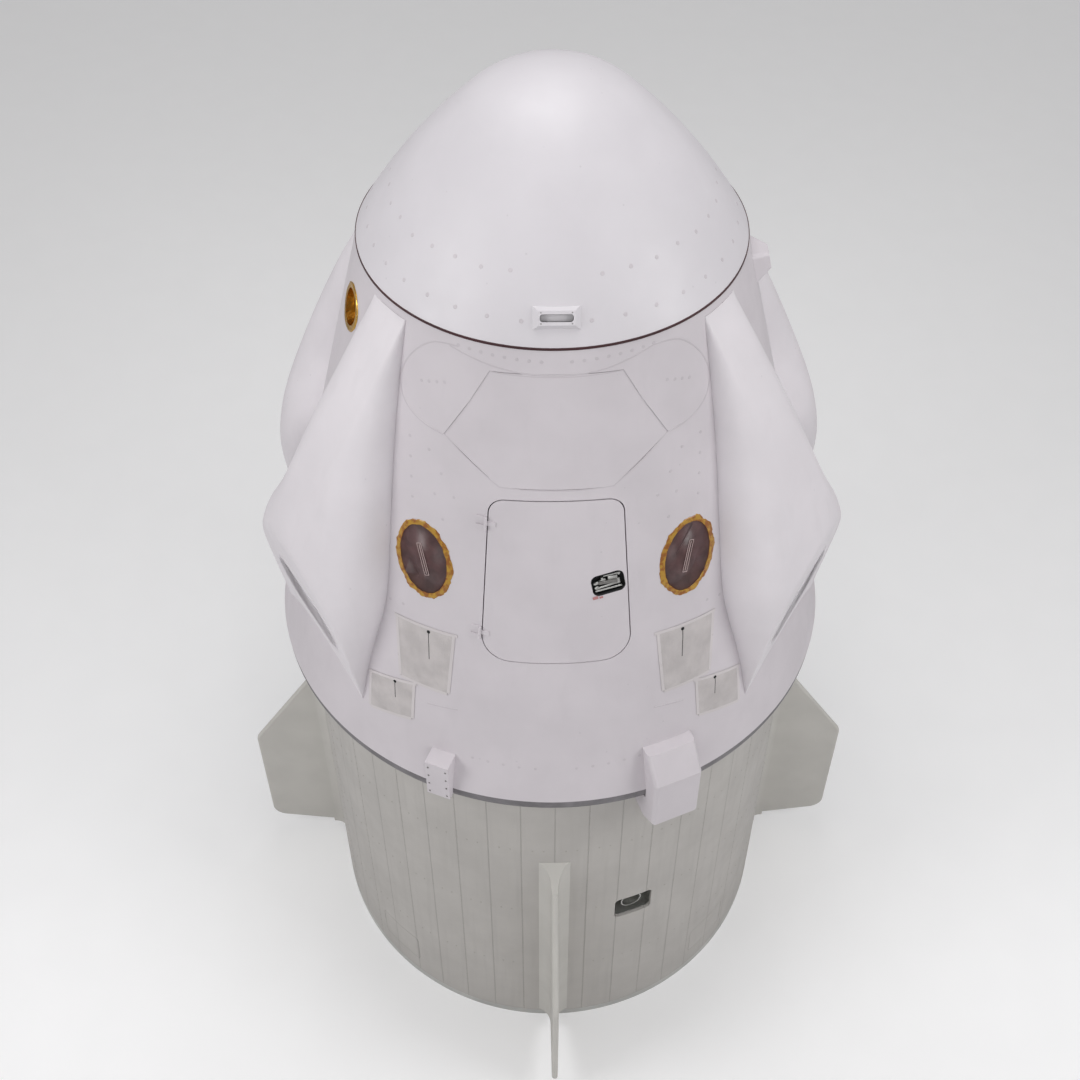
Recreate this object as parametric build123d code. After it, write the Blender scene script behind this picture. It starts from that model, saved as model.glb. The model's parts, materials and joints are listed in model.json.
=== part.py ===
from build123d import *
import os
from math import acos, asin, atan2, cos, degrees, hypot, radians, sin, sqrt, tan

# Crewed space capsule on its trunk, standing on the trunk's bottom ring.
# Millimetres, +Z up, origin at the centre of the bottom ring on the floor.
# The side hatch faces -Y. An azimuth is counted from -Y towards +X, in degrees.

os.makedirs("parts", exist_ok=True)

# Clearances
seat_gap = 0.3
seam_gap = 4
moving_gap = 7
overrun = 60

# Trunk
trunk_radius = 1840
trunk_wall = 24
trunk_height = 3310
frame_depth = 70
frame_height = 40
stringer_width = 30
stringer_depth = 45
stringer_count = 24
frame_level_shares = (0.26, 0.52, 0.78)
foot_ring_height = 70
foot_ring_depth = 90
top_ring_height = 60
top_ring_depth = 60

# Capsule
base_level = 3500
base_radius = 2000
rim_radius = 1180
capsule_height = 3200
skin_split = 42
skin_wall = 90
rim_level = base_level + capsule_height
lean = atan2(base_radius - rim_radius, capsule_height)

# Base band and heat shield
band_height = 105
band_inset = 55
shield_depth = 330
shield_thickness = 70
pad_count = 6
pad_length = 150
pad_width = 70

# Fins
fin_reach = 670
fin_thickness = 46
fin_top = 2450
fin_shoulder = 1420
fin_tip_low = 230
fin_root_low = 95
fin_corner_radius = 130
fairing_reach = 135
fairing_width = 300
fin_azimuths = {"front": 0, "right": 90, "rear": 180, "left": 270}

# Solar panels on the rear half of the trunk
solar_thickness = 14
solar_low = 160
solar_high = 3240
solar_strips = 5
solar_margin = 6.5
solar_seam = 1.1

# Trunk port and access doors
port_azimuth = 19.3
port_level = 1640
port_width = 300
port_height = 260
port_corner = 40
collar_border = 46
collar_thickness = 20
duct_radius = 82
duct_wall = 8
duct_length = 150
door_azimuths = (-43.5, 45)
door_level = 430
door_width = 400
door_height = 330
door_corner = 30
door_doubler = 10
door_border = 34
foot_bolt_radius = 8
foot_bolt_count = 24

# Thruster pods
pod_round_share = 0.45
pod_mirror_signs = {"front_right": (1, 1), "front_left": (-1, 1), "rear_right": (1, -1), "rear_left": (-1, -1)}
pod_sink = 260

# Hatch in the side
hatch_level = 1690
hatch_height = 1175
hatch_top_width = 800
hatch_bottom_width = 955
hatch_top_corner = 105
hatch_bottom_corner = 175
hatch_taper = 10
plug_depth = 240
leaf_width = 60
leaf_thickness = 8
leaf_lift = 2
hatch_pin_radius = 7
hatch_pin_proud = 13
hatch_knuckle_radius = 10
hatch_knuckle_length = 90
hatch_knuckle_shares = (-0.33, 0.33)
handle_azimuth = 11.5
handle_level = 1672
handle_width = 205
handle_height = 150
handle_depth = 46
handle_corner = 42
handle_turn = 8
lever_radius = 13
lever_length = 120

# Windows
window_azimuths = (-30.8, 30.8, 149.2, 210.8)
window_level = 1690
window_width = 330
window_height = 500
window_tilt = 14
window_frame_width = 24
window_frame_proud = 3
pane_thickness = 26
pane_recess = 12

# Cover over the parachutes
chute_thickness = 42
chute_outline = (
    # azimuth, level above the base
    (-17.6, 3040), (17.6, 3040), (22.2, 2840), (28.6, 2580),
    (13.6, 2330), (-13.6, 2330), (-28.6, 2580), (-22.2, 2840),
)

# Fabric covers over the small thrusters, outlines of the right-hand pair
cover_thickness = 9
cover_lift = 0.6
cover_outlines = {
    # azimuth, level above the base
    "large": ((22.0, 1222), (36.4, 1185), (35.5, 800), (32.5, 742), (22.2, 760)),
    "small": ((33.6, 700), (41.0, 655), (40.5, 375), (29.8, 440), (29.8, 712)),
}

# Deck, docking ring and tunnel under the nose
deck_drop = 150
deck_thickness = 45
tunnel_radius = 430
tunnel_wall = 22
tunnel_low_drop = 470
docking_radius = 640
docking_inner = 470
docking_low = 40
docking_height = 150
petal_count = 3
petal_height = 170
petal_width = 330
petal_thickness = 26
petal_lean = 24
strut_radius = 18
strut_count = 6
strut_swing = 12
strut_foot_out = 100
nozzle_count = 4
nozzle_radius = 95
nozzle_throat = 34
nozzle_height = 150
nozzle_ring = 905
nozzle_wall = 6
nozzle_azimuth = 45

# Forward hatch in the tunnel
lid_radius = 396
lid_thickness = 60
lid_crown = 34
lid_pin_radius = 9
lid_pin_drop = 24
lid_lug_spread = 120
lid_lug_width = 40
lid_lug_reach = 70

# Nose cone
seal_height = 16
seal_proud = 5
seal_depth = 70
nose_start = 31
nose_side_radius = 4000
nose_tip_radius = 750
nose_wall = 48
nose_pin_radius = 14
nose_pin_proud = 62
nose_lug_radius = 34
nose_lug_width = 44
nose_lug_spread = 150
nose_arm_reach = 175
nose_arm_height = 130
nose_bracket_drop = 170
blister_width = 250
blister_height = 146
blister_proud = 24
slot_width = 184
slot_height = 42
slot_depth = 50
blister_level = 140

# Sensors
port_sensor_azimuth = -74.2
port_sensor_level = 2860
port_sensor_radius = 135
port_sensor_rim = 20
port_sensor_depth = 70
blister_sensor_azimuth = 88
blister_sensor_level = 2960
blister_sensor_width = 210
blister_sensor_height = 190
blister_sensor_proud = 95

# Umbilical pieces
claw_azimuth = 22.4
claw_low = -335
claw_high = 360
claw_width = 345
claw_proud = 120
claw_corner = 60
claw_slope = 130
umbilical_azimuth = -22.4
umbilical_low = -60
umbilical_high = 290
umbilical_width = 165
umbilical_proud = 130

# Cabin
floor_level = 430
floor_thickness = 40
seat_count = 4
seat_pitch = 560
seat_width = 470
seat_shell = 36
seat_back = 820
seat_pan = 460
seat_leg = 430
seat_rise = 300
seat_setback = 60
console_width = 1500
console_height = 420
console_thickness = 60
console_level = 1560
console_setback = -420
console_tilt = -35
console_spread = 1130
console_tube = 22

# Points, radii and basic solids


def skin_radius(level):
    """Radius of the capsule's skin at a level above its base."""
    return base_radius - level * tan(lean)


def polar(radius, azimuth, level):
    """Point at a radius, an azimuth and a level above the floor."""
    a = radians(azimuth)
    return Vector(radius * sin(a), -radius * cos(a), level)


def turned(points):
    """Solid of revolution about Z from points of (radius, level)."""
    outline = Polyline(*[(x, z) for x, z in points], close=True)
    return revolve(Plane.XZ * make_face(outline), axis=Axis.Z)


def ring(outer, inner, low, high):
    """Flat ring about Z."""
    return turned([(inner, low), (outer, low), (outer, high), (inner, high)])


def disc(radius, low, high):
    """Flat disc about Z."""
    return Pos(0, 0, low) * Cylinder(radius, high - low, align=(Align.CENTER, Align.CENTER, Align.MIN))


def skin_plane(azimuth, level):
    """Plane on the capsule's skin: x to the right seen from outside, y up the skin, z outwards."""
    a = radians(azimuth)
    across = Vector(cos(a), sin(a), 0)
    out = Vector(sin(a) * cos(lean), -cos(a) * cos(lean), sin(lean))
    return Plane(polar(skin_radius(level), azimuth, base_level + level), x_dir=across, z_dir=out)


def wall_plane(azimuth, level, radius=trunk_radius):
    """Plane on the trunk's skin: x to the right seen from outside, y up, z outwards."""
    a = radians(azimuth)
    across = Vector(cos(a), sin(a), 0)
    return Plane(polar(radius, azimuth, level), x_dir=across, z_dir=Vector(sin(a), -cos(a), 0))


def skin_layer(inner, outer, low=0, high=capsule_height):
    """Conical layer between two offsets from the skin, measured along the radius."""
    return turned([
        (skin_radius(low) + inner, base_level + low),
        (skin_radius(low) + outer, base_level + low),
        (skin_radius(high) + outer, base_level + high),
        (skin_radius(high) + inner, base_level + high),
    ])


def sector(start, end, low, high):
    """Wedge about Z between two azimuths and two levels, past the widest piece."""
    reach = base_radius * 2
    steps = [start, (start + end) / 2, end]
    corners = [(reach * sin(radians(a)), -reach * cos(radians(a))) for a in steps]
    face = make_face(Polyline((0, 0), *corners, close=True))
    return extrude(Pos(0, 0, low) * face, high - low)


def outline_on(plane, points):
    """Closed outline on a plane through points of (azimuth, level above the base) on the skin."""
    flat = []
    for azimuth, level in points:
        p = plane.to_local_coords(polar(skin_radius(level), azimuth, base_level + level))
        flat.append((p.X, p.Y))
    return make_face(Polyline(*flat, close=True))


def mean(values):
    """Mean of a list of numbers."""
    values = list(values)
    return sum(values) / len(values)


def skin_patch(points, inner, outer, grow=0):
    """Patch of the skin inside an outline, between two offsets from the skin."""
    plane = skin_plane(mean(a for a, _ in points), mean(z for _, z in points))
    face = outline_on(plane, points)
    if grow:
        face = offset(face, grow, kind=Kind.INTERSECTION)
    reach = overrun + max(abs(inner), abs(outer)) + skin_wall
    prism = extrude(plane * face, reach) + extrude(plane * face, -reach * 2)
    return prism & skin_layer(inner, outer)


def mirrored(shape, sign_x, sign_y):
    """The shape, mirrored across the middle planes where a sign is negative."""
    if sign_x < 0:
        shape = shape.mirror(Plane.YZ)
    if sign_y < 0:
        shape = shape.mirror(Plane.XZ)
    return shape


nodes = {}


def keep(name, shape):
    """Stores a finished sub-part under its node name."""
    nodes[name] = shape


# Whole bodies that others are cut to

capsule_space = turned([
    (0, base_level - seat_gap),
    (base_radius + seat_gap, base_level - seat_gap),
    (rim_radius + seat_gap, rim_level),
    (0, rim_level),
])
trunk_space = disc(trunk_radius + seat_gap, -overrun, base_level)

# Trunk

port_plane = wall_plane(port_azimuth, port_level)
port_cut = extrude(port_plane * RectangleRounded(port_width, port_height, port_corner), -overrun * 4)
port_cut += extrude(port_plane * RectangleRounded(port_width, port_height, port_corner), overrun)
door_cuts = []
doors = []
for azimuth in door_azimuths:
    plane = wall_plane(azimuth, door_level)
    wide, high = door_width + 2 * seam_gap, door_height + 2 * seam_gap
    cutter = extrude(plane * RectangleRounded(wide, high, door_corner + seam_gap), -overrun * 2)
    door_cuts.append(cutter + extrude(plane * RectangleRounded(wide, high, door_corner + seam_gap), overrun))
    blank = extrude(plane * RectangleRounded(door_width, door_height, door_corner), -overrun * 2)
    blank += extrude(plane * RectangleRounded(door_width, door_height, door_corner), overrun)
    wide, high = door_width + 2 * door_border, door_height + 2 * door_border
    backing = extrude(plane * RectangleRounded(wide, high, door_corner + door_border), -overrun * 2)
    doors.append((blank, backing))

trunk_tube = ring(trunk_radius, trunk_radius - trunk_wall, foot_ring_height, trunk_height - top_ring_height)
trunk_shell = trunk_tube - port_cut
for cutter in door_cuts:
    trunk_shell -= cutter
keep("trunk_shell", trunk_shell)
foot_ring = ring(trunk_radius, trunk_radius - foot_ring_depth, 0, foot_ring_height)
for index in range(foot_bolt_count):
    spot = polar(trunk_radius - foot_ring_depth / 2, index * 360 / foot_bolt_count, 0)
    foot_ring -= Pos(spot) * Cylinder(foot_bolt_radius, foot_ring_height * 3)
keep("trunk_foot_ring", foot_ring)
keep("trunk_top_ring", ring(trunk_radius, trunk_radius - top_ring_depth, trunk_height - top_ring_height, trunk_height))

inner_radius = trunk_radius - trunk_wall - seat_gap
frames = None
for share in frame_level_shares:
    level = trunk_height * share
    hoop = ring(inner_radius, inner_radius - frame_depth, level, level + frame_height)
    frames = hoop if frames is None else frames + hoop
stringer_low = foot_ring_height + seam_gap
stringer_high = trunk_height - top_ring_height - seam_gap
for index in range(stringer_count):
    azimuth = (index + 0.5) * 360 / stringer_count
    bar = Pos(0, 0, stringer_low) * Box(
        stringer_width, stringer_depth * 2, stringer_high - stringer_low,
        align=(Align.CENTER, Align.CENTER, Align.MIN),
    )
    bar = Rot(0, 0, azimuth) * Pos(0, -inner_radius, 0) * bar
    frames += bar & disc(inner_radius, 0, trunk_height)
door_clear = frame_depth + overrun
for azimuth in door_azimuths:
    plane = wall_plane(azimuth, door_level)
    wide, high = door_width + 2 * (door_border + seam_gap), door_height + 2 * (door_border + seam_gap)
    frames -= extrude(plane * Rectangle(wide, high), -door_clear)
port_clear = extrude(port_plane * Rectangle(port_width + 3 * collar_border, port_height + 3 * collar_border), -overrun * 4)
keep("trunk_frames", frames - port_clear)

trunk_doors = None
for blank, backing in doors:
    panel = ring(trunk_radius, inner_radius - door_doubler, 0, trunk_height) & blank
    panel += ring(inner_radius, inner_radius - door_doubler, 0, trunk_height) & backing
    trunk_doors = panel if trunk_doors is None else trunk_doors + panel
keep("trunk_doors", trunk_doors)

collar = extrude(
    port_plane * RectangleRounded(port_width + 2 * collar_border, port_height + 2 * collar_border, port_corner + collar_border),
    -overrun * 2,
)
collar &= ring(inner_radius, inner_radius - collar_thickness, 0, trunk_height)
collar -= port_cut
back_depth = trunk_wall + collar_thickness + duct_length
back_plane = wall_plane(port_azimuth, port_level, trunk_radius - back_depth)
cheek_width = port_width + collar_border
cheek_height = port_height + collar_border
cup = extrude(back_plane * Rectangle(cheek_width, cheek_height), back_depth)
cup -= extrude(back_plane * Pos(0, 0, collar_thickness) * Rectangle(port_width, port_height), back_depth)
cup &= disc(inner_radius - collar_thickness / 2, 0, trunk_height)
duct = extrude(back_plane * Circle(duct_radius), duct_length)
duct -= extrude(back_plane * Pos(0, 0, collar_thickness) * Circle(duct_radius - duct_wall), duct_length)
keep("trunk_port", collar + cup + duct)

# Fins, each a flat plate on a hollow-sided root fairing

tip_radius = trunk_radius + fin_reach
fin_outline = make_face(Polyline(
    (trunk_radius - overrun, fin_root_low),
    (tip_radius, fin_tip_low),
    (tip_radius, fin_shoulder),
    (trunk_radius, fin_top),
    (trunk_radius - overrun, fin_top),
    close=True,
))
tip_corners = fin_outline.vertices().sort_by(Axis.X)[-2:]
fin_outline = fillet(tip_corners, fin_corner_radius)
plate = extrude(Plane.XZ * fin_outline, fin_thickness / 2, both=True)
plate_edges = plate.edges().filter_by(lambda e: e.center().X > trunk_radius + overrun and abs(abs(e.center().Y) - fin_thickness / 2) < seat_gap)
plate = fillet(plate_edges, fin_thickness * 0.4)
half = fairing_width / 2
flat = make_face(
    Polyline(
        (trunk_radius + fairing_reach, fin_thickness / 2), (trunk_radius + fairing_reach, -fin_thickness / 2)
    )
    + ThreePointArc(
        (trunk_radius + fairing_reach, -fin_thickness / 2),
        (trunk_radius + fairing_reach * 0.22, -fin_thickness / 2 - fairing_width * 0.13),
        (trunk_radius - half * half / trunk_radius / 2 - seam_gap, -half),
    )
    + Polyline(
        (trunk_radius - half * half / trunk_radius / 2 - seam_gap, -half),
        (trunk_radius - overrun, -half),
        (trunk_radius - overrun, half),
        (trunk_radius - half * half / trunk_radius / 2 - seam_gap, half),
    )
    + ThreePointArc(
        (trunk_radius - half * half / trunk_radius / 2 - seam_gap, half),
        (trunk_radius + fairing_reach * 0.22, fin_thickness / 2 + fairing_width * 0.13),
        (trunk_radius + fairing_reach, fin_thickness / 2),
    )
)
fairing = extrude(Pos(0, 0, fin_root_low) * flat, fin_top - fin_root_low)
leading = make_face(Polyline(
    (trunk_radius - overrun, 0), (tip_radius, 0), (tip_radius, fin_shoulder), (trunk_radius, fin_top),
    (trunk_radius - overrun, fin_top + overrun * (fin_top - fin_shoulder) / fin_reach), close=True,
))
fairing &= extrude(Plane.XZ * leading, fairing_width, both=True)
fin = (plate + fairing) - trunk_space
for name, azimuth in fin_azimuths.items():
    keep(f"fin_{name}", Rot(0, 0, azimuth - 90) * fin)

# Solar panels

array = ring(trunk_radius + seat_gap + solar_thickness, trunk_radius + seat_gap, solar_low, solar_high)
for side, (start, end) in {"right": (90, 180), "left": (180, 270)}.items():
    span = (end - start - 2 * solar_margin) / solar_strips
    strips = None
    for index in range(solar_strips):
        first = start + solar_margin + index * span
        strip = array & sector(first + solar_seam / 2, first + span - solar_seam / 2, 0, trunk_height)
        strips = strip if strips is None else strips + strip
    keep(f"solar_panels_{side}", strips)

# Heat shield and the band round its edge

band_low = base_level - band_height
shield_radius = base_radius - band_inset
band_corner = base_radius - band_inset * 0.28
band = turned([
    (shield_radius - shield_thickness, base_level - seat_gap),
    (base_radius, base_level - seat_gap),
    (base_radius - band_inset * 0.06, base_level - band_height * 0.5),
    (band_corner, base_level - band_height * 0.86),
    (shield_radius, band_low),
    (shield_radius - shield_thickness, band_low),
])
keep("base_band", band)

dish_sphere = (shield_radius ** 2 + shield_depth ** 2) / (2 * shield_depth)
dish_edge = shield_radius - shield_thickness - seat_gap


def dish_level(radius):
    """Level of the heat shield's outer face at a radius."""
    return band_low + (dish_sphere - shield_depth) - sqrt(dish_sphere ** 2 - radius ** 2)


edge_level = dish_level(dish_edge)
dish_line = make_face(
    ThreePointArc((0, dish_level(0)), (dish_edge / 2, dish_level(dish_edge / 2)), (dish_edge, edge_level))
    + Polyline((dish_edge, edge_level), (dish_edge, base_level - seat_gap), (0, base_level - seat_gap), (0, dish_level(0)))
)
shield = revolve(Plane.XZ * dish_line, axis=Axis.Z)
shield_hollow_line = make_face(
    ThreePointArc(
        (0, dish_level(0) + shield_thickness),
        (dish_edge / 2, dish_level(dish_edge / 2) + shield_thickness),
        (dish_edge - shield_thickness, dish_level(dish_edge - shield_thickness) + shield_thickness),
    )
    + Polyline(
        (dish_edge - shield_thickness, dish_level(dish_edge - shield_thickness) + shield_thickness),
        (dish_edge - shield_thickness, base_level),
        (0, base_level),
        (0, dish_level(0) + shield_thickness),
    )
)
keep("heat_shield", shield - revolve(Plane.XZ * shield_hollow_line, axis=Axis.Z))

shield_space = Pos(0, 0, -seat_gap) * shield
pads = None
pad_height = shield_thickness
for index in range(pad_count):
    azimuth = (index + 0.5) * 360 / pad_count
    block = Pos(0, 0, trunk_height) * Box(pad_length, pad_width, pad_height, align=(Align.CENTER, Align.CENTER, Align.MIN))
    block = Rot(0, 0, azimuth) * Pos(0, -(trunk_radius - pad_width / 2 - trunk_wall), 0) * block
    block -= shield_space
    pads = block if pads is None else pads + block
keep("support_pads", pads)

# Capsule's skin panels with their openings

hatch_plane = skin_plane(0, hatch_level)


def rounded_hatch(grow):
    """Side hatch's outline on its plane, with larger corners at the bottom."""
    top, bottom, high = hatch_top_width / 2 + grow, hatch_bottom_width / 2 + grow, hatch_height / 2 + grow
    face = make_face(Polyline((-bottom, -high), (bottom, -high), (top, high), (-top, high), close=True))
    face = fillet(face.vertices().sort_by(Axis.Y)[:2], hatch_bottom_corner + grow)
    peaks = [v for v in face.vertices() if v.Y > high - seat_gap]
    return fillet(peaks, hatch_top_corner + grow)


def hatch_plug(grow):
    """Plug through the skin whose sides draw in towards the cabin."""
    slope = tan(radians(hatch_taper))
    outer = hatch_plane.offset(overrun) * rounded_hatch(grow + overrun * slope)
    inner = hatch_plane.offset(-plug_depth) * rounded_hatch(grow - plug_depth * slope)
    return loft([outer, inner], ruled=True)


def window_cutter(azimuth, grow, depth):
    """Leaning oval plug at a window, from outside the skin inwards."""
    side = 1 if sin(radians(azimuth)) * cos(radians(azimuth)) > 0 else -1
    oval = Rot(0, 0, -window_tilt * side) * Ellipse(window_width / 2 + grow, window_height / 2 + grow)
    plane = skin_plane(azimuth, window_level)
    return extrude(plane.offset(-depth) * oval, depth + overrun)


skin_sectors = {
    # name: (first azimuth, last azimuth)
    "front": (-skin_split, skin_split),
    "right": (skin_split, 180 - skin_split),
    "rear": (180 - skin_split, 180 + skin_split),
    "left": (180 + skin_split, 360 - skin_split),
}
whole_skin = skin_layer(-skin_wall, 0)
chute_pocket = skin_patch(chute_outline, -chute_thickness, overrun, seam_gap)
openings = {"front": [hatch_plug(moving_gap), chute_pocket], "right": [], "rear": [], "left": []}
pane_seat = pane_recess + pane_thickness
for azimuth in window_azimuths:
    where = "front" if cos(radians(azimuth)) > 0 else "rear"
    openings[where].append(window_cutter(azimuth, -window_frame_width, skin_wall * 2))
    openings[where].append(window_cutter(azimuth, 0, pane_seat))
sensor_plane = skin_plane(port_sensor_azimuth, port_sensor_level)
openings["left"].append(extrude(sensor_plane.offset(-port_sensor_depth) * Circle(port_sensor_radius), port_sensor_depth + overrun))
for name, (first, last) in skin_sectors.items():
    panel = whole_skin & sector(first, last, base_level - overrun, rim_level + overrun)
    for cutter in openings[name]:
        panel -= cutter
    keep(f"skin_{name}", panel)

keep("parachute_cover", skin_patch(chute_outline, -chute_thickness + seat_gap, 0))

frames_node = None
panes_node = None
for azimuth in window_azimuths:
    pane = window_cutter(azimuth, -seat_gap, pane_seat - seat_gap) & skin_layer(-pane_seat, -pane_recess)
    pane -= extrude(skin_plane(azimuth, window_level).offset(-pane_recess) * Rectangle(window_height * 2, window_height * 2), overrun)
    rim = window_cutter(azimuth, window_frame_width * 0.6, pane_recess - seat_gap)
    rim -= window_cutter(azimuth, -window_frame_width, pane_seat * 2)
    rim_low = window_cutter(azimuth, -seat_gap, pane_recess - seat_gap)
    rim = (rim & skin_layer(seat_gap, window_frame_proud)) + (rim & rim_low & skin_layer(-pane_recess, window_frame_proud))
    panes_node = pane if panes_node is None else panes_node + pane
    frames_node = rim if frames_node is None else frames_node + rim
keep("window_panes", panes_node)
keep("window_frames", frames_node)

# Thruster pods, one loft mirrored to its four places

pod_sections = (
    # level, valley, inner crest, outer crest, outer foot, bulge
    (2750, 45.5, 46.5, 67, 69, 8),
    (2250, 43.0, 46.8, 77, 81, 90),
    (1750, 40.3, 47.8, 80, 86, 185),
    (1200, 39.2, 49.0, 81, 88, 300),
    (600, 41.8, 47.5, 81, 87, 150),
    (230, 42.4, 45.5, 80, 84, 40),
)
pod_scarf = (
    # azimuth, level above the base, offset from the skin
    (70, 1150, 288),
    (41, 267, 12),
    (78, 500, 0),
)


def pod_section(level, valley, inner, outer, foot, bulge):
    """Outline of a pod at one level, closed inside the capsule's skin."""
    skin = skin_radius(level)
    height = base_level + level
    middle = (inner + outer) / 2
    sides = Polyline(
        polar(skin + bulge, outer, height), polar(skin, foot, height), polar(skin - pod_sink, foot, height),
        polar(skin - pod_sink, valley, height), polar(skin, valley, height), polar(skin + bulge, inner, height),
    )
    front = ThreePointArc(
        polar(skin + bulge, inner, height), polar(skin + bulge, middle, height), polar(skin + bulge, outer, height)
    )
    face = make_face(sides + front)
    crests = [v for v in face.vertices() if hypot(v.X, v.Y) > skin + bulge - seat_gap]
    return fillet(crests, bulge * pod_round_share)


pod = loft([pod_section(*row) for row in pod_sections], ruled=True)
a, b, c = [polar(skin_radius(level) + lift, azimuth, base_level + level) for azimuth, level, lift in pod_scarf]
scarf_normal = (b - a).cross(c - a)
if scarf_normal.Z > 0:
    scarf_normal = scarf_normal * -1
scarf = Plane(a, x_dir=b - a, z_dir=scarf_normal)
pod -= extrude(scarf * Rectangle(base_radius * 4, base_radius * 4), base_radius * 2)
pod -= capsule_space
pod = pod.solids().sort_by(SortBy.VOLUME)[-1]
for name, (sign_x, sign_y) in pod_mirror_signs.items():
    keep(f"thruster_pod_{name}", mirrored(pod, sign_x, sign_y))

# Fabric covers on the skin beside the pods

for name, (sign_x, sign_y) in pod_mirror_signs.items():
    pair = None
    for outline in cover_outlines.values():
        patch = skin_patch(outline, cover_lift, cover_lift + cover_thickness)
        pair = patch if pair is None else pair + patch
    keep(f"thruster_covers_{name}", mirrored(pair, sign_x, sign_y))

# Side hatch with its handle and hinges

hatch = hatch_plug(0) & skin_layer(-skin_wall, 0)
handle_plane = skin_plane(handle_azimuth, handle_level)
handle_face = Rot(0, 0, handle_turn) * RectangleRounded(handle_width, handle_height, handle_corner)
hatch -= extrude(handle_plane.offset(-handle_depth) * handle_face, handle_depth + overrun)
keep("side_hatch", hatch)
lever = handle_plane * Pos(0, 0, -handle_depth * 0.45) * Rot(0, 90, handle_turn) * Cylinder(lever_radius, lever_length)
posts = None
for side in (-1, 1):
    spot = Rot(0, 0, handle_turn) * Pos(side * lever_length * 0.32, 0, -handle_depth + seat_gap)
    post = handle_plane * spot * Cylinder(
        lever_radius * 0.8, handle_depth * 0.6, align=(Align.CENTER, Align.CENTER, Align.MIN)
    )
    posts = post if posts is None else posts + post
keep("hatch_handle", lever + posts)

hinge_low, hinge_high = hatch_level - hatch_height / 2, hatch_level + hatch_height / 2
hinge_azimuth = -degrees(asin((hatch_top_width + hatch_bottom_width + 2 * moving_gap) / 4 / skin_radius(hatch_level)))
leaves = None
mounts = None
for share in hatch_knuckle_shares:
    place = skin_plane(hinge_azimuth, hatch_level + hatch_height * share).offset(hatch_pin_proud)
    third = hatch_knuckle_length / 3
    barrel = place * Rot(90, 0, 0) * Cylinder(hatch_knuckle_radius, third - 2 * seat_gap)
    strap = place * Pos(leaf_width / 2, 0, -hatch_pin_proud + leaf_lift) * Box(leaf_width, third - 2 * seat_gap, leaf_thickness)
    bore = place * Rot(90, 0, 0) * Cylinder(hatch_pin_radius + seat_gap, hatch_knuckle_length)
    leaf = (barrel + strap) - bore - capsule_space
    leaves = leaf if leaves is None else leaves + leaf
    pin = place * Rot(90, 0, 0) * Cylinder(hatch_pin_radius, hatch_knuckle_length)
    mount = pin
    for side in (-1, 1):
        spot = place * Pos(0, side * third, 0)
        mount += spot * Rot(90, 0, 0) * Cylinder(hatch_knuckle_radius, third)
        mount += spot * Pos(-leaf_width / 2, 0, -hatch_pin_proud + leaf_lift) * Box(leaf_width, third, leaf_thickness)
    mount -= capsule_space
    mounts = mount if mounts is None else mounts + mount
keep("hatch_hinge_leaves", leaves)
keep("hatch_hinge_mounts", mounts)
hinge_a = skin_plane(hinge_azimuth, hinge_low).offset(hatch_pin_proud).origin
hinge_b = skin_plane(hinge_azimuth, hinge_high).offset(hatch_pin_proud).origin
print("side hatch hinge", hinge_a, hinge_b - hinge_a)

# Deck, tunnel and docking ring

deck_top = rim_level - deck_drop
deck_radius = skin_radius(capsule_height - deck_drop) - skin_wall - seat_gap
keep("forward_deck", ring(deck_radius, tunnel_radius + seat_gap, deck_top - deck_thickness, deck_top))
tunnel_low = rim_level - tunnel_low_drop
tunnel_top = rim_level + docking_low
keep("docking_tunnel", turned([
    (tunnel_radius - tunnel_wall, tunnel_low), (tunnel_radius, tunnel_low), (tunnel_radius, tunnel_top - tunnel_wall),
    (docking_inner + tunnel_wall, tunnel_top - tunnel_wall), (docking_inner + tunnel_wall, tunnel_top),
    (tunnel_radius - tunnel_wall, tunnel_top),
]))
ring_top = tunnel_top + docking_height
keep("docking_ring", turned([
    (tunnel_radius, tunnel_top + seat_gap), (docking_inner + tunnel_wall, tunnel_top + seat_gap),
    (docking_radius, tunnel_top + docking_height * 0.45), (docking_radius, ring_top),
    (docking_inner + tunnel_wall, ring_top), (docking_inner + tunnel_wall, tunnel_top + docking_height * 0.6),
    (tunnel_radius, tunnel_top + docking_height * 0.35),
]))
petals = None
petal_face = make_face(Polyline(
    (-petal_width / 2, 0), (petal_width / 2, 0), (petal_width / 4, petal_height), (-petal_width / 4, petal_height),
    close=True,
))
petal_face = fillet(petal_face.vertices().sort_by(Axis.Y)[-2:], petal_width / 12)
for index in range(petal_count):
    azimuth = index * 360 / petal_count
    place = Rot(0, 0, azimuth) * Pos(0, -(docking_radius + docking_inner) / 2 - petal_thickness, ring_top + seat_gap)
    blade = extrude(Plane.XZ * petal_face, petal_thickness / 2, both=True)
    blade = Rot(-petal_lean, 0, 0) * blade
    blade -= Pos(0, 0, -overrun) * Box(petal_width * 2, petal_width * 2, overrun * 2)
    blade += Box(petal_width, petal_thickness * 2, petal_thickness, align=(Align.CENTER, Align.CENTER, Align.MIN))
    petals = place * blade if petals is None else petals + place * blade
keep("docking_petals", petals)
struts = None
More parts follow.
